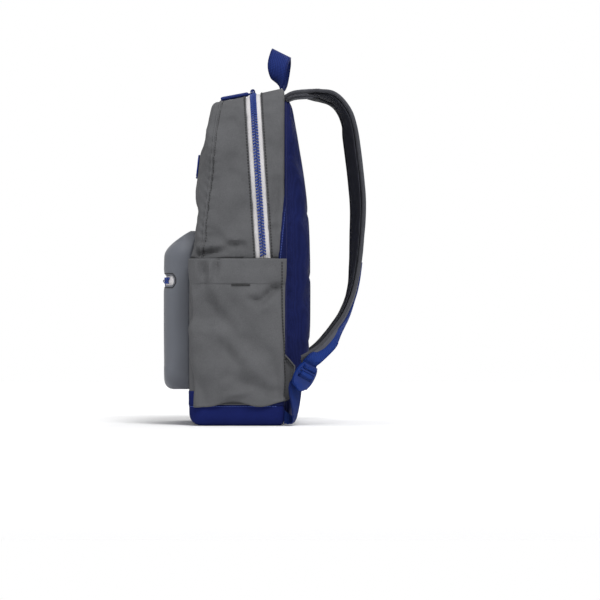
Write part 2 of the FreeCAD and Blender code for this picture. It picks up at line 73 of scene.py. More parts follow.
def eased(value):
    """A share from 0 to 1 with soft ends."""
    value = min(max(value, 0.0), 1.0)
    return value * value * (3 - 2 * value)


def lean_back(z, sharp_top=0.0):
    """How far the front panel leans back at a height: curved, with a step in above the front pocket."""
    return 0.4 * max(0.0, z - 0.18) ** 2 + 0.006 * eased((z - 0.23) / 0.04) * (1 - sharp_top)


def bag_point(p):
    """Where a point of a plain box goes on the bag: round edges, leaning front, sloping top."""
    x, y, z = abs(p.x), p.y, p.z
    sharp_top = eased((z - 0.36) / 0.09)
    front_round = FRONT_ROUND - 0.012 * sharp_top
    for facing, edge, radius in ((-1, -BAG_FRONT, front_round), (1, BAG_REAR, REAR_ROUND)):
        out = max(x - BAG_HALF, z - BAG_TOP, -z) + radius
        past = facing * y - edge + radius
        if out > 0 and past > 0:
            share = max(out, past) / math.hypot(out, past)
            out = out * share
            x = min(x, BAG_HALF - radius + out)
            z = min(max(z, radius - out), BAG_TOP - radius + out)
            y = facing * (edge - radius + past * share)
    for level, radius in ((BAG_TOP, TOP_ROUND), (0.0, BASE_ROUND)):
        sign = 1 if level else -1
        along = x - BAG_HALF + radius
        up = sign * (z - level) + radius
        if along > 0 and up > 0:
            share = max(along, up) / math.hypot(along, up)
            x = BAG_HALF - radius + along * share
            z = level + sign * (up * share - radius)
    x *= 1 - UPWARD_TAPER * eased((z - 0.19) / 0.21)
    y += lean_back(z, sharp_top) * (BAG_REAR - y) / (BAG_REAR - BAG_FRONT)
    z -= TOP_SLOPE * (BAG_REAR - y) * (z / BAG_TOP) ** 2
    return Vector((math.copysign(x, p.x), y, z))


def cut_even(bm, step):
    """Divide every straight edge of a boxy mesh into pieces about step long."""
    for axis in range(3):
        groups = {}
        for edge in bm.edges:
            line = edge.verts[1].co - edge.verts[0].co
            if abs(line[axis]) > 0.99 * line.length:
                groups.setdefault(round(line.length, 4), []).append(edge)
        for length, edges in groups.items():
            cuts = max(0, round(length / step) - 1)
            if cuts:
                bmesh.ops.subdivide_edges(bm, edges=edges, cuts=cuts, use_grid_fill=True)


def trim(bm, place, direction, drop=True):
    """Cut along a plane and drop what lies in front of it."""
    bmesh.ops.bisect_plane(bm, geom=bm.verts[:] + bm.edges[:] + bm.faces[:], dist=1e-5,
                           plane_co=place, plane_no=direction, clear_outer=drop)


def new_piece(name, bm, material):
    """A finished mesh as a piece, smooth but for its sharp edges."""
    for edge in bm.edges:
        edge.smooth = len(edge.link_faces) != 2 or edge.calc_face_angle() < math.radians(50)
    mesh = bpy.data.meshes.new(name)
    bm.to_mesh(mesh)
    bm.free()
    piece = bpy.data.objects.new(name, mesh)
    bpy.context.scene.collection.objects.link(piece)
    if material:
        mesh.materials.append(material)
    for polygon in mesh.polygons:
        polygon.use_smooth = True
    return piece


def settle(piece):
    """Apply a piece's modifiers to its mesh."""
    graph = bpy.context.evaluated_depsgraph_get()
    done = bpy.data.meshes.new_from_object(piece.evaluated_get(graph))
    piece.modifiers.clear()
    old = piece.data
    piece.data = done
    bpy.data.meshes.remove(old)


def blow(piece, held, pressure, reach, shrink):
    """Blow cloth out by simulation. held gives how firmly each point stays, from 0 to 1."""
    rest = [v.co.copy() for v in piece.data.vertices]
    group = piece.vertex_groups.new(name="held")
    for v in piece.data.vertices:
        group.add([v.index], held(v.co), "REPLACE")
    cloth = piece.modifiers.new("cloth", "CLOTH")
    cloth.settings.quality = 5
    cloth.settings.mass = 0.3
    cloth.settings.tension_stiffness = 12
    cloth.settings.compression_stiffness = 12
    cloth.settings.shear_stiffness = 6
    cloth.settings.bending_stiffness = 0.4
    cloth.settings.vertex_group_mass = "held"
    cloth.settings.use_pressure = True
    cloth.settings.uniform_pressure_force = pressure
    cloth.settings.shrink_min = shrink
    cloth.settings.effector_weights.gravity = 0
    cloth.point_cache.frame_start = 1
    cloth.point_cache.frame_end = BLOW_FRAMES
    for step in range(1, BLOW_FRAMES + 1):
        bpy.context.scene.frame_set(step)
    graph = bpy.context.evaluated_depsgraph_get()
    bulges = [v.co.copy() for v in piece.evaluated_get(graph).data.vertices]
    piece.modifiers.clear()
    bpy.context.scene.frame_set(1)
    for v, start, end in zip(piece.data.vertices, rest, bulges):
        move = (end - start) * (1 - held(start))
        if move.length > reach:
            move = move * (reach / move.length)
        v.co = start + move
    piece.vertex_groups.clear()


def zip_distance(p):
    """How far a point lies behind the main zip's middle plane."""
    return (p - ZIP_LINE).dot(ZIP_ACROSS)


def near(distance, width):
    """1 where a distance is nothing, easing to 0 at the given width."""
    return 1 - eased(abs(distance) / width)


bag = bmesh.new()
bmesh.ops.create_cube(bag, size=1)
bmesh.ops.scale(bag, vec=(2 * BAG_HALF, BAG_REAR - BAG_FRONT, BAG_TOP), verts=bag.verts)
bmesh.ops.translate(bag, vec=(0, (BAG_REAR + BAG_FRONT) / 2, BAG_TOP / 2), verts=bag.verts)
trim(bag, (0, FRONT_SEAM, 0), (0, 1, 0), drop=False)
cut_even(bag, CLOTH_STEP)
front_mark = bag.faces.layers.int.new("front")
for face in bag.faces:
    if face.calc_center_median().y < FRONT_SEAM:
        face[front_mark] = 1
seam_held = bag.verts.layers.float.new("seam")
seam_gathers = bag.verts.layers.float.new("gathers")
for vert in bag.verts:
    at_back = eased((vert.co.y - BAG_REAR + 0.012) / 0.010)
    vert[seam_held] = max(near(vert.co.y - FRONT_SEAM, 0.008), at_back)
    vert[seam_gathers] = near(vert.co.y - FRONT_SEAM, 0.018)
    vert.co = bag_point(vert.co)
bag_form = new_piece("bag_form", bag, None)


def spot_key(p):
    """A point rounded off, to find it again."""
    return tuple(round(c, 6) for c in p)


seam_of = {spot_key(vert.co): seam.value
           for vert, seam in zip(bag_form.data.vertices, bag_form.data.attributes["seam"].data)}


def bag_held(p):
    """The seams, the zip, the base and the cloth behind the moulded pocket stay where they are."""
    on_zip = near(zip_distance(p), 0.020) if p.z > ZIP_END - 0.01 else 0
    behind_pocket = eased((0.139 - abs(p.x)) / 0.015) * eased((0.306 - p.z) / 0.022) if p.y < -0.062 else 0
    front_top = 0.75 * eased((p.z - 0.368) / 0.06) if p.y < -0.03 else 0
    low = eased((0.040 - p.z) / 0.012)
    under_side_pocket = 0.85 * eased((0.234 - p.z) / 0.012) * eased((abs(p.x) - 0.125) / 0.015)
    under_pulls = 0.9 * eased((p.z - 0.42) / 0.02) * eased((0.12 - abs(p.x)) / 0.04)
    return max(seam_of.get(spot_key(p), 0), on_zip, behind_pocket, low, under_side_pocket, under_pulls,
               front_top)


def finer(piece):
    """Divide each face of a blown piece in four, on a smooth surface."""
    smoother = piece.modifiers.new("finer", "SUBSURF")
    smoother.levels = smoother.render_levels = 1
    settle(piece)


blow(bag_form, bag_held, 2.4, 0.0055, shrink=-0.02)
finer(bag_form)
gathers = [each.value for each in bag_form.data.attributes["gathers"].data]


def fold(at, start, end, width, depth):
    """How far a soft crease from start to end, seen flat, moves the cloth at a point."""
    a, b = Vector(start), Vector(end)
    share = min(max((at - a).dot(b - a) / (b - a).length_squared, 0), 1)
    away = (at - (a + (b - a) * share)).length / width
    return depth * math.exp(-away * away) * (0.35 + 0.65 * math.sin(math.pi * min(max(share, 0.12), 0.88)))


# Creases in the side panels, as (y, z) start, (y, z) end, width and depth
SIDE_CREASES = [
    ((-0.063, 0.237), (-0.026, 0.243), 0.0050, -0.0068), ((-0.060, 0.247), (-0.034, 0.250), 0.0050, 0.0040),
    ((-0.020, 0.2500), (-0.003, 0.2505), 0.0046, -0.0060), ((-0.024, 0.259), (0.002, 0.258), 0.0056, 0.0030),
    ((-0.054, 0.262), (0.002, 0.352), 0.018, 0.0044), ((-0.030, 0.256), (0.014, 0.318), 0.013, -0.0034),
    ((0.047, 0.338), (0.036, 0.262), 0.0060, -0.0036), ((0.044, 0.300), (0.026, 0.240), 0.008, 0.0026),
    ((0.034, 0.272), (0.050, 0.275), 0.0050, -0.0026),
    ((-0.044, 0.420), (-0.006, 0.429), 0.008, -0.0034), ((-0.048, 0.404), (-0.030, 0.330), 0.009, 0.0022),
    ((0.014, 0.442), (0.040, 0.446), 0.007, -0.0026)]
# Soft drapes in the front panel, as (x, z)
FRONT_DRAPES = [
    ((-0.090, 0.300), (-0.040, 0.410), 0.022, -0.0030), ((0.085, 0.290), (0.060, 0.400), 0.020, -0.0026),
    ((-0.110, 0.292), (-0.020, 0.316), 0.011, 0.0022), ((0.030, 0.300), (0.115, 0.286), 0.010, -0.0022),
    ((-0.030, 0.420), (0.050, 0.432), 0.014, -0.0020), ((0.118, 0.330), (0.104, 0.410), 0.010, 0.0018)]


FRONT_CROWN = 0.0045


def pucker(p, on_seam):
    """Small gathers across a sewn seam."""
    return 0.0011 * on_seam * math.sin((p.x + p.z) * 2 * math.pi / 0.0125 + 2.5 * noise.noise(p * 30))


for vert, wide_seam in zip(bag_form.data.vertices, gathers):
    p, out = vert.co.copy(), vert.normal.copy()
    if p.z > BASE_RIM + 0.008:
        on_side = eased((abs(p.x) - 0.112) / 0.02) * (1 - near(zip_distance(p), 0.013))
        on_front = (eased((-0.035 - p.y) / 0.01) * eased((0.128 - abs(p.x)) / 0.02) *
                    eased((p.z - 0.284) / 0.012))
        move = on_side * sum(fold(Vector((p.y, p.z)), *each) for each in SIDE_CREASES)
        move += on_front * sum(fold(Vector((p.x, p.z)), *each) for each in FRONT_DRAPES)
        move += on_front * FRONT_CROWN * max(0.0, 1 - (p.x / 0.115) ** 2) * eased((p.z - 0.30) / 0.03)
        move += pucker(p, wide_seam) * (0.3 if p.z < 0.23 else 1)
        vert.co = p + out * move


def socket_group(name, inputs, outputs):
    """An empty shader group with its named sockets, and its input and output nodes."""
    group = bpy.data.node_groups.new(name, "ShaderNodeTree")
    for label, kind, value in inputs:
        socket = group.interface.new_socket(label, in_out="INPUT", socket_type=kind)
        if value is not None:
            socket.default_value = value
    for label, kind in outputs:
        group.interface.new_socket(label, in_out="OUTPUT", socket_type=kind)
    return group, group.nodes.new("NodeGroupInput"), group.nodes.new("NodeGroupOutput")


def node(tree, kind, inputs=(), **settings):
    """A shader node, its settings, and its inputs as plain values or links."""
    made = tree.nodes.new(kind)
    for key, value in settings.items():
        setattr(made, key, value)
    for key, value in dict(inputs).items():
        if isinstance(value, bpy.types.NodeSocket):
            tree.links.new(value, made.inputs[key])
        else:
            made.inputs[key].default_value = value
    return made


def new_material(name):
    """A material, its shader tree and its surface shader."""
    made = bpy.data.materials.new(name)
    made.use_nodes = True
    return made, made.node_tree, made.node_tree.nodes["Principled BSDF"]


def place_on(tree):
    """A point's place on the piece, for patterns."""
    return node(tree, "ShaderNodeTexCoord").outputs["Object"]


def mix_colour(tree, share, dark, light):
    """A colour between two, by a share that changes over the surface."""
    mixed = node(tree, "ShaderNodeMix", {"Factor": share}, data_type="RGBA")
    mixed.inputs["A"].default_value = (*dark, 1)
    mixed.inputs["B"].default_value = (*light, 1)
    return mixed.outputs["Result"]


def shaded(tree, colour, value, **limits):
    """A colour made darker or lighter by a value that changes over the surface."""
    scale = node(tree, "ShaderNodeMapRange", {"Value": value, **limits})
    shade = node(tree, "ShaderNodeVectorMath", {0: colour}, operation="SCALE")
    tree.links.new(scale.outputs[0], shade.inputs["Scale"])
    return shade.outputs[0]


def add_relief(tree, height, strength, depth):
    """Bump on the surface from a height that changes over it."""
    relief = node(tree, "ShaderNodeBump", {"Height": height, "Strength": strength, "Distance": depth})
    tree.links.new(relief.outputs[0], tree.nodes["Principled BSDF"].inputs["Normal"])


CLOUD_LIMITS = {"From Min": 0.3, "From Max": 0.7}

# Threads over and under each other, with uneven yarns, for every woven surface of the bag.
weave, w_in, w_out = socket_group(
    "woven_threads",
    [("Vector", "NodeSocketVector", None), ("Threads per metre", "NodeSocketFloat", 1400.0),
     ("Unevenness", "NodeSocketFloat", 0.4)],
    [("Height", "NodeSocketFloat"), ("Thread", "NodeSocketFloat"), ("Cloud", "NodeSocketFloat")])
turn = node(weave, "ShaderNodeVectorMath", {0: w_in.outputs["Vector"]}, operation="SCALE")
weave.links.new(w_in.outputs["Threads per metre"], turn.inputs["Scale"])
parts = node(weave, "ShaderNodeSeparateXYZ", {0: turn.outputs[0]})
waves = []
for axis in "XYZ":
    angle = node(weave, "ShaderNodeMath", {0: parts.outputs[axis], 1: math.pi}, operation="MULTIPLY")
    waves.append(node(weave, "ShaderNodeMath", {0: angle.outputs[0]}, operation="SINE").outputs[0])
first = node(weave, "ShaderNodeMath", {0: waves[0], 1: waves[2]}, operation="MULTIPLY")
second = node(weave, "ShaderNodeMath", {0: waves[1], 1: waves[2]}, operation="MULTIPLY")
third = node(weave, "ShaderNodeMath", {0: waves[0], 1: waves[1]}, operation="MULTIPLY")
added = node(weave, "ShaderNodeMath", {0: first.outputs[0], 1: second.outputs[0]}, operation="ADD")
added = node(weave, "ShaderNodeMath", {0: added.outputs[0], 1: third.outputs[0]}, operation="ADD")
yarn = node(weave, "ShaderNodeTexNoise", {"Vector": turn.outputs[0], "Scale": 0.8, "Detail": 3.0})
cloud = node(weave, "ShaderNodeTexNoise", {"Vector": w_in.outputs["Vector"], "Scale": 26.0, "Detail": 4.0})
uneven = node(weave, "ShaderNodeMath", {0: yarn.outputs["Fac"], 1: w_in.outputs["Unevenness"]},
              operation="MULTIPLY")
height = node(weave, "ShaderNodeMath", {0: added.outputs[0], 1: uneven.outputs[0]}, operation="ADD")
weave.links.new(height.outputs[0], w_out.inputs["Height"])
weave.links.new(yarn.outputs["Fac"], w_out.inputs["Thread"])
weave.links.new(cloud.outputs["Fac"], w_out.inputs["Cloud"])


def cloth_material(name, dark, light, threads=1400.0, rough=0.85, bump=0.25, sheen=0.04, gloss=0.18):
    """Woven cloth: two yarn colours mixed thread by thread, soft clouds, thread relief and sheen."""
    made, tree, surface = new_material(name)
    woven = node(tree, "ShaderNodeGroup", node_tree=weave)
    tree.links.new(place_on(tree), woven.inputs["Vector"])
    woven.inputs["Threads per metre"].default_value = threads
    woven.inputs["Unevenness"].default_value = 0.2
    by_thread = node(tree, "ShaderNodeMapRange", {"Value": woven.outputs["Thread"], **CLOUD_LIMITS})
    colour = mix_colour(tree, by_thread.outputs[0], dark, light)
    clouded = shaded(tree, colour, woven.outputs["Cloud"], **CLOUD_LIMITS, **{"To Min": 0.90, "To Max": 1.08})
    tree.links.new(clouded, surface.inputs["Base Color"])
    dull = node(tree, "ShaderNodeMapRange", {"Value": woven.outputs["Thread"], "To Min": rough - 0.06,
                                             "To Max": rough + 0.06})
    tree.links.new(dull.outputs[0], surface.inputs["Roughness"])
    add_relief(tree, woven.outputs["Height"], bump, 0.0002)
    surface.inputs["Sheen Weight"].default_value = sheen
    surface.inputs["Sheen Roughness"].default_value = 0.5
    surface.inputs["Specular IOR Level"].default_value = gloss
    return made


grey_cloth = cloth_material("grey_canvas", (0.082, 0.083, 0.088), (0.114, 0.1155, 0.121), sheen=0.02,
                            gloss=0.1)
lining_cloth = cloth_material("dark_lining", (0.02, 0.021, 0.024), (0.035, 0.036, 0.04), threads=2600,
                              rough=0.6)


def bag_part(name, cuts, material=None):
    """One panel of the bag's cloth: the blown form, trimmed along its seams."""
    bm = bmesh.new()
    bm.from_mesh(bag_form.data)
    for place, direction in cuts:
        trim(bm, place, direction)
    return new_piece(name, bm, material)


def stand_proud(piece, height):
    """Move a piece's surface outwards."""
    for vert in piece.data.vertices:
        vert.co += vert.normal * height


def thicken(piece, wall, inside=None):
    """Give cloth its thickness inwards, with the lining's material on the inner side."""
    solid = piece.modifiers.new("wall", "SOLIDIFY")
    solid.thickness = wall
    solid.offset = -1
    if inside:
        piece.data.materials.append(inside)
        solid.material_offset = 1
    settle(piece)


UP, DOWN = Vector((0, 0, 1)), Vector((0, 0, -1))
TAPE_HALF = 0.0103

upper_skin = bag_part("upper_skin", [
    ((0, 0, ZIP_END), DOWN), (ZIP_LINE - ZIP_ACROSS * TAPE_HALF, ZIP_ACROSS)], grey_cloth)
thicken(upper_skin, FABRIC, lining_cloth)
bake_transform(upper_skin)
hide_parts("flap_front_panel", "flap_gusset")

lower_skin = bag_part("lower_skin", [((0, 0, ZIP_END), UP), ((0, 0, BASE_RIM), DOWN)], grey_cloth)
thicken(lower_skin, FABRIC, lining_cloth)
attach(lower_skin, "pack")
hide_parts("front_panel", "side_panel_right", "side_panel_left")

rear_skin = bag_part("rear_skin", [
    ((0, 0, ZIP_END), DOWN), (ZIP_LINE + ZIP_ACROSS * TAPE_HALF, -ZIP_ACROSS)], grey_cloth)
thicken(rear_skin, FABRIC, lining_cloth)
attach(rear_skin, "pack")
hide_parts("rear_gusset", "back_lining")


# ---------------------------------------------------------------- The base
# A tray of blue cloth round a stiff board, sewn on under the grey panels' lower edge.
base_cloth = cloth_material("blue_base_cloth", (0.006, 0.010, 0.070), (0.010, 0.017, 0.112), rough=0.8,
                            sheen=0.0, gloss=0.06)
base_skin = bag_part("base_skin", [((0, 0, BASE_RIM), UP)], base_cloth)
thicken(base_skin, FABRIC, lining_cloth)
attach(base_skin, "pack")
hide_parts("base_panel")
BAND_TOP = 0.048
base_band = bag_part("base_front_band", [((0, 0, BAND_TOP), UP), ((0, 0, BASE_RIM - 0.0005), DOWN),
                                         ((0, -0.062, 0), (0, 1, 0))], base_cloth)
stand_proud(base_band, 0.0008)
thicken(base_band, 0.0014)
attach(base_band, "pack")


# ---------------------------------------------------------------- Seams and stitching of the body
# The front panel's seam is turned over a thin piping of the same cloth. Rows of dark thread hold
# the zip's tape and the base. Each stitch is a short round-ended bar half sunk in the cloth.
def runs_of(edges):
    """Put edges in order, as lists of neighbouring vertices."""
    linked = {}
    for edge in edges:
        for vert in edge.verts:
            linked.setdefault(vert, []).append(edge)
    left = dict.fromkeys(edges)
    runs = []
    while left:
        loose = [v for v in linked if sum(e in left for e in linked[v]) == 1]
        here = loose[0] if loose else next(iter(left)).verts[0]
        run = [here]
        while True:
            ahead = next((e for e in linked[here] if e in left), None)
            if ahead is None:
                break
            del left[ahead]
            here = ahead.other_vert(here)
            run.append(here)
        runs.append(run)
    return runs


def surface_line(form, place, direction, keep, order=None):
    """Points and normals where a plane cuts a form, in order."""
    bm = bmesh.new()
    bm.from_mesh(form.data)
    cut = bmesh.ops.bisect_plane(bm, geom=bm.verts[:] + bm.edges[:] + bm.faces[:], dist=1e-5,
                                 plane_co=place, plane_no=direction)["geom_cut"]
    bm.normal_update()
    verts = [v for v in cut if isinstance(v, bmesh.types.BMVert) and keep(v.co)]
    found = [(v.co.copy(), v.normal.copy()) for v in sorted(verts, key=lambda v: order(v.co))]
    bm.free()
    return found


def spaced(line, pitch, start=0.0, lift=0.0, aside=0.0):
    """Places every pitch along a line: matrices of across, along and outward axes."""
    places = []
    left = start
    for (here, normal), (ahead, normal_ahead) in zip(line, line[1:]):
        step = ahead - here
        while left < step.length:
            share = left / step.length
            out = normal.lerp(normal_ahead, share).normalized()
            along = step.normalized()
            across = along.cross(out).normalized()
            out = across.cross(along)
            spot = here + step * share + out * lift + across * aside
            places.append(Matrix.Translation(spot) @ Matrix((across, along, out)).transposed().to_4x4())
            left += pitch
        left -= step.length
    return places


def break_edges(bm, edges, width, segments=1, clamp=False):
    """Round off edges."""
    bmesh.ops.bevel(bm, geom=edges, offset=width, segments=segments, profile=0.5, affect="EDGES", material=-1,
                    clamp_overlap=clamp)


def bars(places, size, soft):
    """Small round-edged bars at the given places."""
    bm = bmesh.new()
    for place in places:
        bmesh.ops.create_cube(bm, size=1, matrix=place @ Matrix.Diagonal((*size, 1)))
    break_edges(bm, bm.edges[:], soft)
    return bm


def thread_material(name, colour):
    """Twisted sewing thread."""
    made, tree, surface = new_material(name)
    fibre = node(tree, "ShaderNodeTexNoise", {"Vector": place_on(tree), "Scale": 1500.0})
    base = node(tree, "ShaderNodeRGB")
    base.outputs[0].default_value = (*colour, 1)
    twisted = shaded(tree, base.outputs[0], fibre.outputs["Fac"], **{"To Min": 0.7, "To Max": 1.3})
    tree.links.new(twisted, surface.inputs["Base Color"])
    add_relief(tree, fibre.outputs["Fac"], 0.4, 0.0002)
    surface.inputs["Roughness"].default_value = 0.55
    return made


dark_thread = thread_material("dark_thread", (0.008, 0.008, 0.009))
grey_thread = thread_material("grey_thread", (0.09, 0.092, 0.1))
blue_thread = thread_material("blue_thread", (0.03, 0.06, 0.28))
STITCH = (0.0010, 0.0026, 0.0008)
STITCH_PITCH = 0.0037
# The heavy rows are black bars wider than their thread: they paint the shade of the needle holes and puckers
# along with the stitches.
WIDE_STITCH_WITH_HOLE_SHADE = (0.0017, 0.0026, 0.0012)
HEAVY_PITCH = 0.0042
PIPING = 0.0017


def stitch_row(name, line, thread, lift=0.0002, aside=0.0, pitch=STITCH_PITCH, size=STITCH):
    """A row of stitches along a line on the cloth."""
    return new_piece(name, bars(spaced(line, pitch, 0.001, lift, aside), size, 0.00022), thread)


def round_bag(p):
    """Order round the bag's arch, from low on the right over the top to low on the left."""
    return math.atan2(-p.x, p.z - 0.20)


def follow_flap(piece):
    """Leave a piece where it stands, its placement baked into its mesh."""
    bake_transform(piece)


def follow(piece, body):
    """Let a piece ride one body."""
    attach(piece, body)


def cord_tube(name, line, radius, material):
    """A thin round cord along a line, as piping."""
    curve = bpy.data.curves.new(name, "CURVE")
    curve.dimensions = "3D"
    curve.bevel_depth = radius
    curve.bevel_resolution = 2
    spline = curve.splines.new("POLY")
    spline.points.add(len(line) - 1)
    for point, (spot, normal) in zip(spline.points, line):
        point.co = (*spot, 1)
    drawn = bpy.data.objects.new(name + "_drawn", curve)
    bpy.context.scene.collection.objects.link(drawn)
    graph = bpy.context.evaluated_depsgraph_get()
    mesh = bpy.data.meshes.new_from_object(drawn.evaluated_get(graph))
    bpy.data.objects.remove(drawn)
    mesh.name = name
    mesh.materials.clear()
    mesh.materials.append(material)
    piece = bpy.data.objects.new(name, mesh)
    bpy.context.scene.collection.objects.link(piece)
    for polygon in mesh.polygons:
        polygon.use_smooth = True
    return piece


form = bmesh.new()
form.from_mesh(bag_form.data)
form.normal_update()
mark = form.faces.layers.int["front"]
seam_edges = [e for e in form.edges if len(e.link_faces) == 2 and
              e.link_faces[0][mark] != e.link_faces[1][mark]]
seam_run = max(runs_of(seam_edges), key=len)
seam_line = [(v.co - v.normal * 0.0002, v.normal.copy()) for v in seam_run if v.co.z > BASE_RIM]
seam_line.sort(key=lambda at: round_bag(at[0]))
form.free()
upper_seam = [at for at in seam_line if at[0].z > ZIP_END]
follow_flap(cord_tube("front_piping_upper", upper_seam, PIPING, grey_cloth))
for side in (1, -1):
    low = [at for at in seam_line if at[0].z < ZIP_END + 0.004 and at[0].x * side > 0]
    hand = "right" if side > 0 else "left"
    follow(cord_tube("front_piping_" + hand, low, PIPING, grey_cloth), "pack")
above_zip_end = lambda p: p.z > ZIP_END
for name, away in (("front", -1), ("rear", 1)):
    row = surface_line(bag_form, ZIP_LINE + ZIP_ACROSS * away * (TAPE_HALF + 0.0021), ZIP_ACROSS,
                       above_zip_end, round_bag)
    stitches = stitch_row("zip_stitches_" + name, row, dark_thread, pitch=HEAVY_PITCH, size=WIDE_STITCH_WITH_HOLE_SHADE)
    if away < 0:
        follow_flap(stitches)
    else:
        follow(stitches, "pack")
seam_stitches = stitch_row("front_seam_stitches", upper_seam, dark_thread, aside=0.0035)
follow_flap(seam_stitches)

for name, level, thread in (("grey", BASE_RIM + 0.0022, dark_thread),
                            ("blue", BASE_RIM - 0.002, blue_thread)):
    rim = surface_line(bag_form, (0, 0, level), UP, lambda p: p.y < 0.047,
                       lambda p: math.atan2(p.x, -p.y + 0.05))
    follow(stitch_row("base_stitches_" + name, rim, thread), "pack")


# ---------------------------------------------------------------- The main zip
# White woven tape under the cloth's folded edges, with two rows of moulded blue teeth that mesh
# along the middle. The front row and its tape stay where they are, the rear row rides the bag.
tape_cloth = cloth_material("zip_tape_weave", (0.50, 0.485, 0.495), (0.66, 0.645, 0.655), threads=1900,
                            rough=0.8)


def moulded_material(name, colour, rough=0.38, grain=900.0, bump=0.12, wear=0.25, gloss=0.3):
    """Moulded plastic: fine grain, a little colour drift and handling wear."""
    made, tree, surface = new_material(name)
    place = place_on(tree)
    fine = node(tree, "ShaderNodeTexNoise", {"Vector": place, "Scale": grain, "Detail": 3.0})
    broad = node(tree, "ShaderNodeTexNoise", {"Vector": place, "Scale": 40.0, "Detail": 5.0})
    drift = mix_colour(tree, broad.outputs["Fac"], [c * (1 - wear) for c in colour],
                       [c * (1 + wear) for c in colour])
    tree.links.new(drift, surface.inputs["Base Color"])
    polish = node(tree, "ShaderNodeMapRange", {"Value": broad.outputs["Fac"], **CLOUD_LIMITS,
                                               "To Min": rough - 0.07, "To Max": rough + 0.09})
    tree.links.new(polish.outputs[0], surface.inputs["Roughness"])
    add_relief(tree, fine.outputs["Fac"], bump, 0.0001)
    surface.inputs["Specular IOR Level"].default_value = gloss
    return made


teeth_plastic = moulded_material("blue_teeth", (0.015, 0.040, 0.22), rough=0.42)
TOOTH_PITCH = 0.0042
TOOTH_HEAD = (0.0020, 0.0026, 0.0027)
TOOTH_NECK = (0.0046, 0.0021, 0.0022)
TOOTH_SOFT = 0.00045
TOOTH_LEAN = math.radians(30)


def add_tooth(bm, place, away, lean):
    """One tooth: a blunt head on the tape and a slanting neck towards the middle."""
    neck = Matrix.Translation((away * 0.0018, 0, 0)) @ Matrix.Rotation(lean, 4, "Z")
    head = Matrix.Translation((away * 0.0034, away * math.tan(lean) * 0.0012, 0))
    bmesh.ops.create_cube(bm, size=1, matrix=place @ neck @ Matrix.Diagonal((*TOOTH_NECK, 1)))
    bmesh.ops.create_cube(bm, size=1, matrix=place @ head @ Matrix.Diagonal((*TOOTH_HEAD, 1)))


middle = surface_line(bag_form, ZIP_LINE, ZIP_ACROSS, above_zip_end, round_bag)
for name, away, shift in (("front", -1, 0.0), ("rear", 1, 0.5)):
    inner = ZIP_LINE + ZIP_ACROSS * away * 0.0003
    outer = ZIP_LINE + ZIP_ACROSS * away * (TAPE_HALF + 0.003)
    tape = bag_part("zip_tape_" + name + "_cloth", [
        ((0, 0, ZIP_END - 0.001), DOWN), (inner, -ZIP_ACROSS * away), (outer, ZIP_ACROSS * away)], tape_cloth)
    for vert in tape.data.vertices:
        vert.co -= vert.normal * (0.0006 + 0.002 * eased((abs(zip_distance(vert.co)) - 0.0075) / 0.004))
    thicken(tape, 0.0007)
    places = spaced(middle, TOOTH_PITCH, TOOTH_PITCH * (0.5 + shift), 0.0006)
    facing = 1 if places[0].to_3x3().col[0].dot(ZIP_ACROSS) > 0 else -1
    lean = -facing * away * TOOTH_LEAN
    bm = bmesh.new()
    for place in places:
        add_tooth(bm, place, facing * away, lean if place.translation.x > 0 else -lean)
    break_edges(bm, bm.edges[:], TOOTH_SOFT)
    teeth = new_piece("zip_teeth_" + name + "_row", bm, teeth_plastic)
    if away < 0:
        follow_flap(tape)
        follow_flap(teeth)
        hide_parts("zip_tape_front", "zip_tape_front_ends")
        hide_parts("zip_teeth_front", "zip_teeth_front_ends")
    else:
        follow(tape, "pack")
        follow(teeth, "pack")
        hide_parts("zip_tape_rear")
        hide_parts("zip_teeth_rear")


# ---------------------------------------------------------------- Sliders and pulls
# Painted metal sliders with a bridge, each with a looped cord and a moulded rubber grip.
slider_paint = moulded_material("blue_slider_paint", (0.016, 0.038, 0.20), rough=0.3, wear=0.15)
pull_rubber = moulded_material("blue_pull_rubber", (0.012, 0.030, 0.19), rough=0.5, grain=1400, bump=0.3)
GRIP_RING = 0.0021
GRIP_RADIUS = 0.0029
GRIP_SIDES = 12
rubber = pull_rubber.node_tree
lie = node(rubber, "ShaderNodeSeparateXYZ", {0: place_on(rubber)})
reach = node(rubber, "ShaderNodeMath", {0: lie.outputs["Y"], 1: lie.outputs["Z"]})
turns = node(rubber, "ShaderNodeMath", {0: reach.outputs[0], 1: 2 * math.pi / GRIP_RING},
             operation="MULTIPLY")
ridges = node(rubber, "ShaderNodeMath", {0: turns.outputs[0]}, operation="SINE")
add_relief(rubber, ridges.outputs[0], 0.8, 0.0005)


def soften(part, width, material):
    """A machined or moulded part with its edges broken, made from its plain form."""
    bm = bmesh.new()
    bm.from_mesh(bpy.data.objects[part].data)
    bmesh.ops.remove_doubles(bm, verts=bm.verts, dist=2e-6)
    bmesh.ops.dissolve_limit(bm, angle_limit=math.radians(3), verts=bm.verts, edges=bm.edges)
    sharp = [e for e in bm.edges if len(e.link_faces) == 2 and e.calc_face_angle() > math.radians(35)]
    break_edges(bm, sharp, width, segments=2, clamp=True)
    return new_piece(part + "_finished", bm, material)


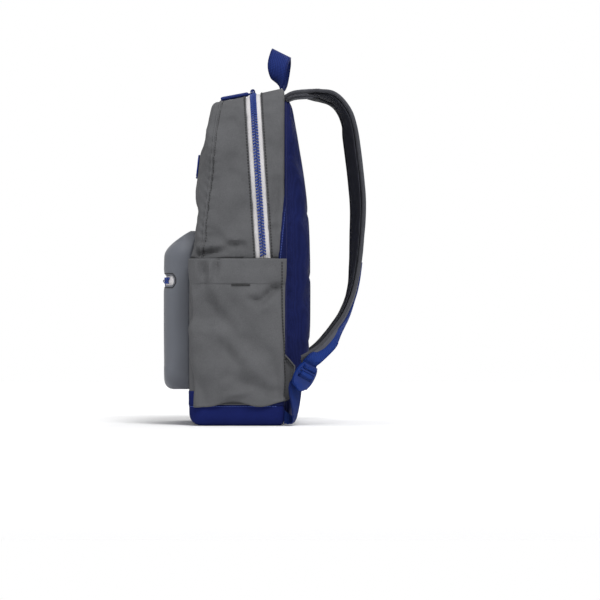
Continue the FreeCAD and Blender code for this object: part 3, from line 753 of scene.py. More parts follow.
def ribbed_grip(start, end, radius):
    """A moulded tube with raised rings and round ends."""
    along = end - start
    turned = along.to_track_quat("Z", "Y").to_matrix().to_4x4()
    rings = round(along.length / GRIP_RING) * 2
    bm = bmesh.new()
    bmesh.ops.create_cone(bm, cap_ends=True, segments=GRIP_SIDES, radius1=1, radius2=1, depth=1)
    lengthwise = [e for e in bm.edges if abs(e.verts[0].co.z - e.verts[1].co.z) > 0.5]
    bmesh.ops.subdivide_edges(bm, edges=lengthwise, cuts=rings - 1)
    for vert in bm.verts:
        share = vert.co.z + 0.5
        rib = 0.93 + 0.07 * math.cos(round(share * rings) * math.pi)
        close = math.sqrt(max(0.35, 1 - max(0.0, abs(share - 0.5) * 2 - 0.86) ** 2 / 0.14 ** 2))
        wide = radius * rib * close
        vert.co = Vector((vert.co.x * wide, vert.co.y * wide, vert.co.z * along.length))
    bmesh.ops.transform(bm, matrix=Matrix.Translation((start + end) / 2) @ turned, verts=bm.verts)
    bmesh.ops.recalc_face_normals(bm, faces=bm.faces)
    return bm


HANDS = (("right", 1), ("left", -1))
for hand, side in HANDS:
    low, high = (Vector(corner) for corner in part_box("pull_grip_" + hand))
    middle_x = (low.x + high.x) / 2
    grip = ribbed_grip(Vector((middle_x, high.y + 0.0045, high.z - 0.0012)),
                       Vector((middle_x, low.y, low.z + GRIP_RADIUS + 0.0012)), GRIP_RADIUS)
    grip_piece = new_piece("pull_grip_moulding_" + hand, grip, pull_rubber)
    follow(grip_piece, "pull_" + hand)
    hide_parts("pull_grip_" + hand)

for part, body, material, slot_name in (
        ("zip_slider_right", "zip_slider_right", slider_paint, "slider_metal"),
        ("zip_slider_left", "zip_slider_left", slider_paint, "slider_metal"),
        ("pull_loop_right", "pull_right", pull_rubber, "blue_pull"),
        ("pull_loop_left", "pull_left", pull_rubber, "blue_pull"),
        ("pocket_slider", "pocket_slider", slider_paint, "slider_metal"),
        ("pocket_pull", "pocket_pull", pull_rubber, "blue_pull")):
    finished = soften(part, 0.0003, material)
    follow(finished, body)
    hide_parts(part)


# ---------------------------------------------------------------- The moulded front pocket
# A satin shell pressed from cloth-backed foam, sewn flat to the front panel. A slot across it holds
# a white zip tape with blue teeth, inside a stitched rim that ends in cut corners on each side.
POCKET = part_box("pocket_shell")
POCKET_HALF = POCKET[1][0]
POCKET_LOW, POCKET_HIGH = POCKET[0][2], POCKET[1][2]
POCKET_FRONT = POCKET[0][1]
POCKET_BACK = -0.0757
SLOT_Z = 0.201
SLOT_HALF = 0.0070
SLOT_END = -0.1003
SLOT_CUT = 0.0040


def pocket_point(p):
    """Where a point of a plain box goes on the moulded pocket."""
    x, y, z = abs(p.x), p.y, p.z
    radius = 0.019 if z > POCKET_LOW + 0.03 else 0.013
    out = max(x - POCKET_HALF, POCKET_LOW - z) + radius
    past = POCKET_FRONT - y + radius
    if out > 0 and past > 0:
        share = max(out, past) / math.hypot(out, past)
        x = min(x, POCKET_HALF - radius + out * share)
        z = max(z, POCKET_LOW + radius - out * share)
        y = POCKET_FRONT + radius - past * share
    for level, sign, radius in ((POCKET_HIGH, 1, 0.040), (POCKET_LOW, -1, 0.026)):
        along = x - POCKET_HALF + radius
        up = sign * (z - level) + radius
        if along > 0 and up > 0:
            share = max(along, up) / math.hypot(along, up)
            x = POCKET_HALF - radius + along * share
            z = level + sign * (up * share - radius)
    rise = max(0.0, (z - 0.236) / 0.040)
    forward = (POCKET_BACK - y) / (POCKET_BACK - POCKET_FRONT)
    y += 0.042 * rise ** 1.8 * forward + lean_back(z) * (1 - 0.5 * forward)
    crown = 0.0015 * math.cos(x / POCKET_HALF * 1.4) * eased((z - 0.06) / 0.08)
    crown -= 0.0026 * (1 - eased((abs(z - SLOT_Z) - SLOT_HALF) / 0.0055))
    return Vector((math.copysign(x, p.x), y - crown * eased((-0.09 - y) / 0.02), z))


pocket = bmesh.new()
bmesh.ops.create_cube(pocket, size=1)
bmesh.ops.scale(pocket, vec=(2 * POCKET_HALF, POCKET_BACK - POCKET_FRONT, POCKET_HIGH - POCKET_LOW),
                verts=pocket.verts)
bmesh.ops.translate(pocket, vec=(0, (POCKET_BACK + POCKET_FRONT) / 2, (POCKET_HIGH + POCKET_LOW) / 2),
                    verts=pocket.verts)
for level in (SLOT_Z - SLOT_HALF, SLOT_Z + SLOT_HALF):
    trim(pocket, (0, 0, level), UP, drop=False)
trim(pocket, (0, SLOT_END, 0), (0, 1, 0), drop=False)
cut_even(pocket, 0.0042)
for sign in (1, -1):
    trim(pocket, (0, SLOT_END - SLOT_CUT, SLOT_Z + sign * SLOT_HALF), (0, 1, sign), drop=False)
slot_mark = pocket.faces.layers.int.new("slot")
for face in pocket.faces:
    middle_of = face.calc_center_median()
    height = abs(middle_of.z - SLOT_Z)
    inside = height < SLOT_HALF and middle_of.y < SLOT_END
    if inside and middle_of.y + height < SLOT_END - SLOT_CUT + SLOT_HALF:
        face[slot_mark] = 1
bmesh.ops.delete(pocket, geom=[f for f in pocket.faces if f.calc_center_median().y > POCKET_BACK - 0.0005],
                 context="FACES")
for vert in pocket.verts:
    vert.co = pocket_point(vert.co)
pocket_form = new_piece("pocket_form", pocket, None)


def pocket_part(name, in_slot, material):
    """The part of the pocket's form that lies in its slot, or all the rest."""
    bm = bmesh.new()
    bm.from_mesh(pocket_form.data)
    layer = bm.faces.layers.int["slot"]
    bmesh.ops.delete(bm, geom=[f for f in bm.faces if f[layer] != in_slot], context="FACES")
    return new_piece(name, bm, material)


satin = moulded_material("satin_grey_shell", (0.108, 0.116, 0.136), rough=0.45, grain=2200, bump=0.25,
                         wear=0.06)
satin.node_tree.nodes["Principled BSDF"].inputs["Sheen Weight"].default_value = 0.15
shell = pocket_part("pocket_moulding", 0, satin)
thicken(shell, 0.0026, lining_cloth)
follow(shell, "pack")
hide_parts("pocket_shell")
pocket_tape = pocket_part("pocket_tape", 1, tape_cloth)
stand_proud(pocket_tape, -0.0007)
thicken(pocket_tape, 0.0008)
follow(pocket_tape, "pack")
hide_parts("pocket_zip_tape")


def across_pocket(p):
    """Order round the pocket's front, from left to right."""
    return math.atan2(p.x, -0.06 - p.y)


front_line = surface_line(pocket_form, (0, 0, SLOT_Z), UP, lambda p: p.y < SLOT_END - 0.0035, across_pocket)
bm = bmesh.new()
for away, shift in ((-1, 0.0), (1, 0.5)):
    for place in spaced(front_line, TOOTH_PITCH, TOOTH_PITCH * shift, 0.0006):
        add_tooth(bm, place, away, away * 0.5)
break_edges(bm, bm.edges[:], TOOTH_SOFT)
pocket_teeth = new_piece("pocket_teeth", bm, teeth_plastic)
follow(pocket_teeth, "pack")
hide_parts("pocket_zip_teeth")

RIM_HALF, RIM_END = 0.0098, -0.0970
RIM_CORNER = (0.0050, 0.0066)


def rim_corners(side):
    """The groove's corners at one end of the slot, from above to below, as box y and z."""
    back, drop = RIM_CORNER
    half = [(POCKET_FRONT, RIM_HALF), (RIM_END - back, RIM_HALF), (RIM_END, RIM_HALF - drop)]
    ends = half + [(y, -z) for y, z in reversed(half)]
    return [(side * POCKET_HALF, y, SLOT_Z + z) for y, z in ends]


corners = rim_corners(1) + list(reversed(rim_corners(-1)))
groove = []
for here, ahead in zip(corners, corners[1:] + corners[:1]):
    here, ahead = Vector(here), Vector(ahead)
    steps = max(1, round((ahead - here).length / 0.002))
    groove += [(pocket_point(here.lerp(ahead, k / steps)), None) for k in range(steps)]
# The rim is a dark cord in the dark thread's colour along the groove: painted shade of the groove, together
# with its stitching.
follow(cord_tube("pocket_rim_groove_shade", groove + groove[:1], 0.0008, dark_thread), "pack")


# ---------------------------------------------------------------- The side pockets
# An open pouch of one doubled layer on each side, with a deep turned hem. It is cut full, so it
# hangs in soft folds, and it is gathered in a little where it is sewn down at the bottom.
MM = 0.001
SIDE_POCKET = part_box("side_pocket_right")
MOUTH = SIDE_POCKET[1][2]
FOOT = SIDE_POCKET[0][2]
HEM_LOW = 0.1955


# Folds in the pouch, as (y, z) start, (y, z) end, width and depth
POCKET_FOLDS = [
    ((-0.078, 0.158), (-0.034, 0.151), 0.019, -0.0105), ((-0.076, 0.136), (-0.030, 0.128), 0.010, 0.0050),
    ((-0.066, 0.190), (-0.030, 0.162), 0.016, -0.0066), ((-0.052, 0.202), (-0.006, 0.130), 0.010, 0.0058),
    ((-0.026, 0.150), (0.012, 0.104), 0.013, -0.0054), ((-0.006, 0.186), (0.040, 0.112), 0.017, 0.0050),
    ((0.052, 0.1925), (0.040, 0.1905), 0.0050, -0.0062), ((0.040, 0.190), (0.024, 0.172), 0.0056, -0.0076),
    ((0.023, 0.172), (0.008, 0.1755), 0.0052, -0.0060), ((0.034, 0.172), (0.020, 0.158), 0.008, 0.0044),
    ((0.020, 0.188), (-0.002, 0.180), 0.008, 0.0034),
    ((-0.060, 0.112), (-0.034, 0.056), 0.014, 0.0060), ((-0.044, 0.124), (-0.010, 0.086), 0.011, -0.0066),
    ((-0.004, 0.104), (0.030, 0.056), 0.014, 0.0054), ((0.034, 0.100), (0.046, 0.050), 0.009, -0.0044),
    ((-0.070, 0.070), (-0.054, 0.036), 0.009, -0.0054), ((-0.028, 0.038), (0.006, 0.048), 0.007, 0.0062),
    ((0.018, 0.058), (0.050, 0.038), 0.009, -0.0046), ((-0.022, 0.070), (0.022, 0.050), 0.010, -0.0046),
    ((-0.060, 0.232), (-0.054, 0.196), 0.0046, -0.0050), ((-0.048, 0.232), (-0.048, 0.204), 0.0036, 0.0036),
    ((-0.037, 0.232), (-0.040, 0.208), 0.0038, -0.0046), ((-0.067, 0.232), (-0.066, 0.196), 0.0036, 0.0034)]


def side_pocket_point(u, z):
    """A point round the pouch: u runs from its front edge, round the corner, to its rear edge."""
    high = (z - FOOT) / (MOUTH - FOOT)
    depth = 0.0046 + 0.0056 * eased(high / 0.32) + 0.001 * math.sin(high * math.pi)
    front = -0.0690 - 0.0055 * eased(high * 1.4)
    rear = 0.0560 + 0.0015 * eased((high - 0.7) * 3)
    side = rear - front
    face = BAG_HALF + depth
    lead = 0.030
    if u < lead:
        return Vector((face - 0.008 - (lead - u), front - 0.0022, z)), Vector((0, -1, 0))
    turn = min((u - lead) / 0.012, 1)
    angle = turn * math.pi / 2
    if turn < 1:
        across, along = 0.008 * math.sin(angle), 0.008 * (1 - math.cos(angle))
        return (Vector((face - 0.008 + across, front - 0.0022 + along, z)),
                Vector((math.sin(angle), -math.cos(angle), 0)))
    run = u - lead - 0.012
    full = side - 0.0058 - 0.006
    if run < full:
        return Vector((face, front + 0.0058 + run, z)), Vector((1, 0, 0))
    angle = min((run - full) / 0.009, 1) * math.pi / 2
    reach = min(0.006, depth)
    return (Vector((face - reach * (1 - math.cos(angle)), rear - 0.006 + 0.006 * math.sin(angle), z)),
            Vector((math.cos(angle), math.sin(angle), 0)))


POUCH_ROUND = 0.030 + 0.012 + 0.1235 + 0.009
POUCH_STEP = 0.0028


def pouch_spot(u, z, stand_off):
    """Where the draped pouch cloth is, and which way it faces."""
    spot, out = side_pocket_point(u, z)
    free = eased(u / 0.03) * eased((POUCH_ROUND - u) / 0.02)
    crease = sum(fold(Vector((spot.y, spot.z)), *each) for each in POCKET_FOLDS)
    rough = noise.noise(spot * 38) * 0.0012 + noise.noise(spot * 90) * 0.0004
    foot = eased((0.052 - z) / 0.022)
    lift = foot * (0.0040 * math.cos((spot.y + 0.016) * 2 * math.pi / 0.075) -
                   0.0042 * near(spot.y + 0.073, 0.020) + 0.0016 * noise.noise(spot * 24))
    notch = -0.0022 * near(spot.y + 0.036, 0.003) * eased((z - 0.222) / 0.009)
    placed = spot + out * ((crease + rough) * free + stand_off) + Vector((0, 0, lift + notch))
    if out.x > 0.5:
        placed.x = max(placed.x, BAG_HALF + 0.0016 + stand_off)
    return placed, out


def pouch(low, high, stand_off):
    """A band of the pouch between two heights, a little proud of its base line."""
    bm = bmesh.new()
    bmesh.ops.create_grid(bm, x_segments=round(POUCH_ROUND / POUCH_STEP),
                          y_segments=round((high - low) / POUCH_STEP), size=0.5)
    for vert in bm.verts:
        up = (vert.co.y + 0.5) * (high - low)
        vert.co = pouch_spot((vert.co.x + 0.5) * POUCH_ROUND, low + up, stand_off * eased(up / 0.012))[0]
    bmesh.ops.recalc_face_normals(bm, faces=bm.faces)
    return bm


for hand, side in HANDS:
    for name, low, high, off, wall in (("side_pocket_cloth", FOOT, MOUTH, 0.0, 0.0012),
                                       ("side_pocket_turned_hem", HEM_LOW, MOUTH + 0.0006, 0.0009, 0.0009)):
        bm = pouch(low, high, off)
        if bm.faces[0].normal.y > 0:
            bmesh.ops.reverse_faces(bm, faces=bm.faces)
        if side < 0:
            bmesh.ops.scale(bm, vec=(-1, 1, 1), verts=bm.verts)
            bmesh.ops.reverse_faces(bm, faces=bm.faces)
        cloth = new_piece(f"{name}_{hand}", bm, grey_cloth)
        thicken(cloth, wall)
        follow(cloth, "pack")
    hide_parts(f"side_pocket_{hand}")
    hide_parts(f"side_pocket_hem_{hand}")
    sewn_rows = (
        ("rear_edge", dark_thread, [(POUCH_ROUND - 0.0120, 0.038 + k * 0.002) for k in range(96)],
         HEAVY_PITCH),
        ("bar_tack", dark_thread, [(u * MM, 0.1948) for u in range(93, 119)], 0.0021))
    for row_name, thread, places, pitch in sewn_rows:
        line = [pouch_spot(u, z, 0.0007) for u, z in places]
        if side < 0:
            line = [(Vector((-p.x, p.y, p.z)), Vector((-n.x, n.y, n.z))) for p, n in line]
        follow(stitch_row(f"side_pocket_{row_name}_{hand}", line, thread, lift=0.0003, pitch=pitch,
                          size=WIDE_STITCH_WITH_HOLE_SHADE), "pack")


# ---------------------------------------------------------------- The padded back
# Foam lobes under fine blue spacer mesh, with an air channel down the middle and sewn grooves
# across. The mesh is turned round the bag's rear edges, and the pad's edge is bound with tape.
def smooth_between(rows, s):
    """A smooth value through rows of numbers, with s counted in rows."""
    i = min(max(int(s), 0), len(rows) - 2)
    t = s - i
    near_rows = [rows[min(max(i + k, 0), len(rows) - 1)] for k in (-1, 0, 1, 2)]
    return [b + (c - a) * t / 2 + (2 * a - 5 * b + 4 * c - d) * t * t / 2 +
            (3 * b - a - 3 * c + d) * t ** 3 / 2 for a, b, c, d in zip(*near_rows)]


def even_box(low, high, step):
    """A box between two corners, with its faces divided evenly and flat lengths kept as a UV map."""
    bm = bmesh.new()
    size = Vector(high) - Vector(low)
    bmesh.ops.create_cube(bm, size=1)
    bmesh.ops.scale(bm, vec=size, verts=bm.verts)
    bmesh.ops.translate(bm, vec=Vector(low) + size / 2, verts=bm.verts)
    cut_even(bm, step)
    flat = bm.loops.layers.uv.new("flat")
    for face in bm.faces:
        for loop in face.loops:
            loop[flat].uv = loop.vert.co.xy
    return bm


def mesh_material(name, dark, light, holes=1000.0):
    """Knitted spacer mesh: small dark holes in rows between lighter threads."""
    made, tree, surface = new_material(name)
    knit = node(tree, "ShaderNodeGroup", node_tree=weave)
    tree.links.new(place_on(tree), knit.inputs["Vector"])
    knit.inputs["Threads per metre"].default_value = holes
    knit.inputs["Unevenness"].default_value = 0.5
    open_share = node(tree, "ShaderNodeMapRange", {"Value": knit.outputs["Height"], "From Min": -0.5,
                                                   "From Max": 0.7}, interpolation_type="SMOOTHSTEP")
    colour = mix_colour(tree, open_share.outputs[0], dark, light)
    clouded = shaded(tree, colour, knit.outputs["Cloud"], **CLOUD_LIMITS, **{"To Min": 0.88, "To Max": 1.12})
    tree.links.new(clouded, surface.inputs["Base Color"])
    add_relief(tree, knit.outputs["Height"], 0.5, 0.0004)
    surface.inputs["Roughness"].default_value = 0.7
    surface.inputs["Specular IOR Level"].default_value = 0.12
    return made


blue_mesh = mesh_material("blue_spacer_mesh", (0.0045, 0.0075, 0.050), (0.0088, 0.015, 0.094))
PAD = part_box("back_pad")
PAD_HALF, PAD_LOW, PAD_HIGH = PAD[1][0], PAD[0][2], PAD[1][2]
PAD_BACK = PAD[0][1]
PAD_DEPTHS = [(0.0065,), (0.0248,), (0.0312,), (0.0324,), (0.0320,), (0.0300,), (0.0242,), (0.0152,),
              (0.0066,)]
PAD_SLAB = 0.034
CHANNEL_HALF = 0.020
CHANNEL_DEPTH, GROOVE_DEPTH = 0.012, 0.0065
GROOVES = (0.105, 0.195, 0.285)


def pad_point(p):
    """Where a point of a plain slab goes on the padded back."""
    x, z = abs(p.x), p.z
    for level, sign, radius in ((PAD_HIGH, 1, 0.066), (PAD_LOW, -1, 0.024)):
        along, up = x - PAD_HALF + radius, sign * (z - level) + radius
        if along > 0 and up > 0:
            share = max(along, up) / math.hypot(along, up)
            x = PAD_HALF - radius + along * share
            z = level + sign * (up * share - radius)
    depth = smooth_between(PAD_DEPTHS, (z - PAD_LOW) / (PAD_HIGH - PAD_LOW) * (len(PAD_DEPTHS) - 1))[0]
    edge = 1 - min((PAD_HALF - x) / 0.026, 1)
    depth *= 0.50 + 0.50 * math.sqrt(max(0.0, 1 - edge * edge))
    return Vector((math.copysign(x, p.x), PAD_BACK + depth * p.y / PAD_SLAB, z))


pad_mesh = even_box((-PAD_HALF, 0, PAD_LOW), (PAD_HALF, PAD_SLAB, PAD_HIGH), CLOTH_STEP)
for vert in pad_mesh.verts:
    vert.co = pad_point(vert.co)
bmesh.ops.recalc_face_normals(pad_mesh, faces=pad_mesh.faces)
pad = new_piece("padded_back", pad_mesh, blue_mesh)


def pad_held(p):
    """The pad's sewn edge and its channel stay where they are."""
    return max(1 - eased((p.y - PAD_BACK) / 0.006), near(p.x, 0.012))


blow(pad, pad_held, 3.0, 0.0035, shrink=-0.01)
for vert in pad.data.vertices:
    share = eased((vert.co.y - PAD_BACK) / 0.02)
    channel = CHANNEL_DEPTH * near(vert.co.x, CHANNEL_HALF)
    lobe = eased((abs(vert.co.x) - CHANNEL_HALF + 0.004) / 0.01)
    level_at = vert.co.z - 0.16 * abs(vert.co.x)
    sewn = eased((0.116 - abs(vert.co.x)) / 0.014) * sum(
        GROOVE_DEPTH * near(level_at - level, 0.009) for level in GROOVES)
    vert.co.y -= share * (channel + sewn * lobe)
finer(pad)
follow(pad, "pack")
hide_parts("back_pad")

MESH_EDGE = Vector((0, 0.0475, 0.231))
turn_across = Vector((0, 0.107, -0.009)).normalized()
mesh_turn = bag_part("mesh_turned_edge", [
    (MESH_EDGE, -turn_across), ((0, 0, BASE_RIM - 0.001), DOWN)], blue_mesh)
stand_proud(mesh_turn, 0.0010)
thicken(mesh_turn, 0.0011)
follow(mesh_turn, "pack")
edge_lines = [surface_line(bag_form, MESH_EDGE + turn_across * 0.0016, turn_across,
                           lambda p: p.x * side > 0.1 and 0.2 < p.z < 0.325, lambda p: p.z)
              for hand, side in HANDS]
for (hand, side), line in zip(HANDS, edge_lines):
    follow(stitch_row("mesh_edge_stitches_" + hand, line, blue_thread, lift=0.0012), "pack")

tape_rib = cloth_material("blue_binding", (0.005, 0.008, 0.05), (0.010, 0.016, 0.10), threads=900, bump=0.5)
round_pad = []
outline = even_box((-PAD_HALF, 0, PAD_LOW), (PAD_HALF, PAD_SLAB, PAD_HIGH), CLOTH_STEP)
outline.normal_update()
rim_edges = [e for e in outline.edges if all(v.co.y < 1e-6 for v in e.verts) and len(e.link_faces) == 2 and
             abs(e.link_faces[0].normal.y - e.link_faces[1].normal.y) > 0.5]
for vert in max(runs_of(rim_edges), key=len):
    spot = pad_point(vert.co)
    round_pad.append((spot + Vector((0, 0.0012, 0)), Vector((0, 1, 0))))
outline.free()
binding = cord_tube("back_edge_binding", round_pad, 0.0019, tape_rib)
follow(binding, "pack")
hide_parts("back_seam_tape")


# ---------------------------------------------------------------- The shoulder straps
# Curved pads of bluish grey cloth over foam, faced with dark mesh on the wearer's side. Both long
# edges are bound and stitched. The root is sewn in above the padded back, and folds there.
STRAP = [(58, 51, 451, 0, 62, 8), (58, 58.8, 458, 0, 62, 9), (59, 71, 462.5, 0, 62, 10),
         (61, 92, 463.5, 0, 62, 11), (66, 110, 461, -2, 62, 11), (74, 127, 453, -5, 61, 11),
         (84, 140.5, 433.5, -9, 60, 11), (92, 147.5, 406, -13, 60, 11), (97, 153.5, 360, -13.5, 59, 11),
         (100, 158, 312, -13.5, 58, 11), (103, 157, 268, -12, 56, 11), (108, 154.5, 225, -8, 53, 11),
         (115, 149.5, 187, -2, 47, 11), (124, 138.5, 154, 6, 41, 11), (133, 124, 130, 14, 36, 11),
         (142, 107.5, 109.5, 20, 31, 11), (149, 92, 97.5, 27, 27, 8), (152, 78, 90.5, 30, 20, 5)]
STRAP_LAST = len(STRAP) - 1
STRAP_LENGTH, STRAP_HALF, STRAP_STEP = 0.60, 0.030, 0.004
STRAP_FOLD = ((0.058, 0.062, 0.459), (0.061, 0.092, 0.4635))


def strap_frame(s):
    """Centre, across, outward, width and thickness of the right strap, s stations along it."""
    here = smooth_between(STRAP, s)
    along = (Vector(smooth_between(STRAP, s + 0.05)[:3]) - Vector(smooth_between(STRAP, s - 0.05)[:3]))
    along.normalize()
    across = (Vector((1, 0, 0)) - along * along.x).normalized()
    out = across.cross(along)
    angle = math.radians(here[3])
    turned = across * math.cos(angle) - out * math.sin(angle)
    out = out * math.cos(angle) + across * math.sin(angle)
    return Vector(here[:3]) * MM, turned, out, here[4] * MM, here[5] * MM


def strap_shell(first, low_share, high_share, narrower, soft):
    """A long pad on the strap's line, between two shares of half its thickness, crowned and pinched."""
    bm = even_box((-STRAP_HALF, 0, -STRAP_STEP), (STRAP_HALF, STRAP_LENGTH, STRAP_STEP), STRAP_STEP)
    for vert in bm.verts:
        s = first + vert.co.y / STRAP_LENGTH * (STRAP_LAST - first)
        centre, across, out, wide, thick = strap_frame(s)
        u, v = vert.co.x / STRAP_HALF, vert.co.z / STRAP_STEP
        end = max(0.0, (s - STRAP_LAST + 0.5) / 0.5)
        close = math.sqrt(max(0.12, 1 - end * end))
        crown = 1 - soft * abs(u) ** 3.5
        level = (low_share + high_share) / 2 + (high_share - low_share) / 2 * v * crown * (0.5 + close / 2)
        if first:
            level = high_share + (level - high_share) * (0.15 + 0.85 * eased((s - first) / 0.8))
        wave = 0.0005 * noise.noise(Vector((u * 1.5, s * 2.2, v))) * crown
        vert.co = centre + across * u * (wide - narrower) / 2 * close + out * (level * thick / 2 + wave)
    bmesh.ops.recalc_face_normals(bm, faces=bm.faces)
    return bm


def mirrored(p):
    """The same place on the left."""
    return Vector((-p[0], p[1], p[2]))


def pair(name, bm, material, nodes, body=None, fold=None):
    """The right-hand piece and its mirror image, each on its own body or, given a fold, left where it stands.
    """
    for hand, side in HANDS:
        copy = bm.copy()
        if side < 0:
            bmesh.ops.scale(copy, vec=(-1, 1, 1), verts=copy.verts)
            bmesh.ops.reverse_faces(copy, faces=copy.faces)
        piece = new_piece(f"{name}_{hand}", copy, material)
        hook_up(piece, hand, side, body, fold)
        if nodes:
            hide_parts(*(f"{each}_{hand}" for each in nodes))
    bm.free()


def hook_up(piece, hand, side, body, fold):
    """Let one hand's piece ride its body, or, given a fold, leave it where it stands."""
    if fold:
        first, second, start, end = fold
        start, end = (start, end) if side > 0 else (mirrored(start), mirrored(end))
        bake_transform(piece)
    else:
        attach(piece, body.format(hand))


strap_cloth = cloth_material("strap_cover_cloth", (0.062, 0.065, 0.081), (0.095, 0.099, 0.120), threads=1700)
strap_edge = cloth_material("strap_binding", (0.040, 0.041, 0.048), (0.062, 0.064, 0.074), threads=1000,
                            bump=0.5)
strap_mesh = mesh_material("strap_dark_mesh", (0.008, 0.0085, 0.012), (0.034, 0.036, 0.046), holes=700)
OFF_PACK = ("pack", "strap_{}", *STRAP_FOLD)
pair("strap_cover", strap_shell(0, -0.36, 1.0, 0.0015, 0.45), strap_cloth,
     ("strap_root", "strap_fold", "strap_pad"), fold=OFF_PACK)
pair("strap_facing", strap_shell(3, -1.0, -0.30, 0.007, 0.5), strap_mesh,
     ("strap_liner",), body="strap_{}")


LINE_POINTS = 170


def strap_line(u, level, first=0.0, inset=0.0):
    """Points along the right strap: u from -1 to 1 across it, level in shares of half its thickness."""
    found = []
    last = STRAP_LAST - 0.15
    for k in range(LINE_POINTS + 1):
        centre, across, out, wide, thick = strap_frame(first + (last - first) * k / LINE_POINTS)
        half = wide / 2 - inset
        found.append((centre + across * u * half + out * level * thick / 2, out))
    return found


def for_hand(line, side):
    """A line for the right or the left."""
    return line if side > 0 else [(mirrored(spot), mirrored(out)) for spot, out in line]


for hand, side in HANDS:
    for u, edge_name in ((1, "outer"), (-1, "inner")):
        edge = for_hand(strap_line(u, 0.22, inset=0.0010), side)
        rim = cord_tube(f"strap_binding_{edge_name}_{hand}", edge, 0.0024, strap_edge)
        hook_up(rim, hand, side, None, OFF_PACK)
        row = for_hand(strap_line(u, 0.80, first=0.6, inset=0.0058), side)
        hook_up(stitch_row(f"strap_stitches_{edge_name}_{hand}", row, grey_thread, lift=0.0), hand, side,
                None, OFF_PACK)


# ---------------------------------------------------------------- Strap webbing and ladder locks
# Blue ribbed webbing is sewn to the strap's lower face and loops on the lock's top bar. The moulded
# lock holds the lower webbing, which runs down to the bag's bottom corner. Its end hangs free.
def maths(tree, operation, first, second=0.0):
    """One step of arithmetic in a shader tree."""
    return node(tree, "ShaderNodeMath", {0: first, 1: second}, operation=operation).outputs[0]


ribbed, r_in, r_out = socket_group(
    "ribbed_webbing",
    [("Vector", "NodeSocketVector", None), ("Half width", "NodeSocketFloat", 0.0125)],
    [("Height", "NodeSocketFloat"), ("Tone and painted rib light", "NodeSocketFloat")])
flat_axes = node(ribbed, "ShaderNodeSeparateXYZ", {0: r_in.outputs["Vector"]})
across_at, along_at = flat_axes.outputs["X"], flat_axes.outputs["Y"]
rib = maths(ribbed, "SINE", maths(ribbed, "MULTIPLY", across_at, 2 * math.pi / 0.0026))
slant = maths(ribbed, "ADD", maths(ribbed, "MULTIPLY", along_at, 2 * math.pi / 0.0019),
              maths(ribbed, "MULTIPLY", across_at, 2 * math.pi / 0.0052))
pick = maths(ribbed, "SINE", slant)
raised = maths(ribbed, "ADD", maths(ribbed, "MULTIPLY", rib, 0.6), maths(ribbed, "MULTIPLY", pick, 0.4))
border = node(ribbed, "ShaderNodeMapRange", {
    "Value": maths(ribbed, "SUBTRACT", maths(ribbed, "ABSOLUTE", across_at), r_in.outputs["Half width"]),
    "From Min": -0.0035, "From Max": -0.0022, "To Min": 1.0, "To Max": 0.45})
fuzz = node(ribbed, "ShaderNodeTexNoise", {"Vector": r_in.outputs["Vector"], "Scale": 260.0, "Detail": 4.0})
# Painted light and shade: the rib crests are painted lighter and the furrows darker, with a random fuzz mixed
# in.
lit = node(ribbed, "ShaderNodeMapRange", {"Value": maths(ribbed, "ADD", raised, fuzz.outputs["Fac"]),
                                          "From Min": -0.6, "From Max": 1.5})
ribbed.links.new(raised, r_out.inputs["Height"])
ribbed.links.new(maths(ribbed, "MULTIPLY", lit.outputs[0], border.outputs[0]), r_out.inputs["Tone and painted rib light"])


def webbing_material(name, dark, light, wide):
    """Ribbed nylon webbing, darker woven border along both edges, painted light on rib crests and painted
    shade in furrows.
    """
    made, tree, surface = new_material(name)
    ribs = node(tree, "ShaderNodeGroup", node_tree=ribbed)
    tree.links.new(node(tree, "ShaderNodeUVMap", uv_map="flat").outputs[0], ribs.inputs["Vector"])
    ribs.inputs["Half width"].default_value = wide / 2
    tree.links.new(mix_colour(tree, ribs.outputs["Tone and painted rib light"], dark, light), surface.inputs["Base Color"])
    add_relief(tree, ribs.outputs["Height"], 0.6, 0.0004)
    surface.inputs["Roughness"].default_value = 0.7
    surface.inputs["Specular IOR Level"].default_value = 0.08
    return made


WEB_STEP = 0.0035


def ribbon(rows, wide, thick):
    """A flat woven band along rows of a centre and a direction across it, in metres."""
    centres = [Vector(row[:3]) for row in rows]
    length = sum((b - a).length for a, b in zip(centres, centres[1:]))
    bm = even_box((-wide / 2, 0, -thick / 2), (wide / 2, length, thick / 2), WEB_STEP)
    for vert in bm.verts:
        s = vert.co.y / length * (len(rows) - 1)
        here = smooth_between(rows, s)
        along = (Vector(smooth_between(rows, s + 0.03)[:3]) - Vector(smooth_between(rows, s - 0.03)[:3]))
        along.normalize()
        across = Vector(here[3:])
        across = (across - along * along.dot(across)).normalized()
        vert.co = Vector(here[:3]) + across * vert.co.x + across.cross(along) * vert.co.z
    bmesh.ops.recalc_face_normals(bm, faces=bm.faces)
    return bm


LOCK_BAR = Vector((0.154, 0.090, 0.081))
LOCK_TURN = math.radians(47)
LOCK_UP = Vector((0, 0.482, 0.876))
LOCK_FLAT = Vector((0, 0.876, -0.482))
LOCK_OUT = LOCK_FLAT * math.cos(LOCK_TURN) + Vector((1, 0, 0)) * math.sin(LOCK_TURN)
LOCK_ACROSS = Vector((1, 0, 0)) * math.cos(LOCK_TURN) - LOCK_FLAT * math.sin(LOCK_TURN)
WEB_WIDE = 0.025
WEB_THICK = 0.0017


def lock_point(across, up, out):
    """A place on the right ladder lock, in millimetres from its top bar."""
    return LOCK_BAR + (LOCK_ACROSS * across + LOCK_UP * up + LOCK_OUT * out) * MM


def lock_rows(places):
    """Webbing rows through the lock."""
    return [(*lock_point(0, up, out), *LOCK_ACROSS) for up, out in places]


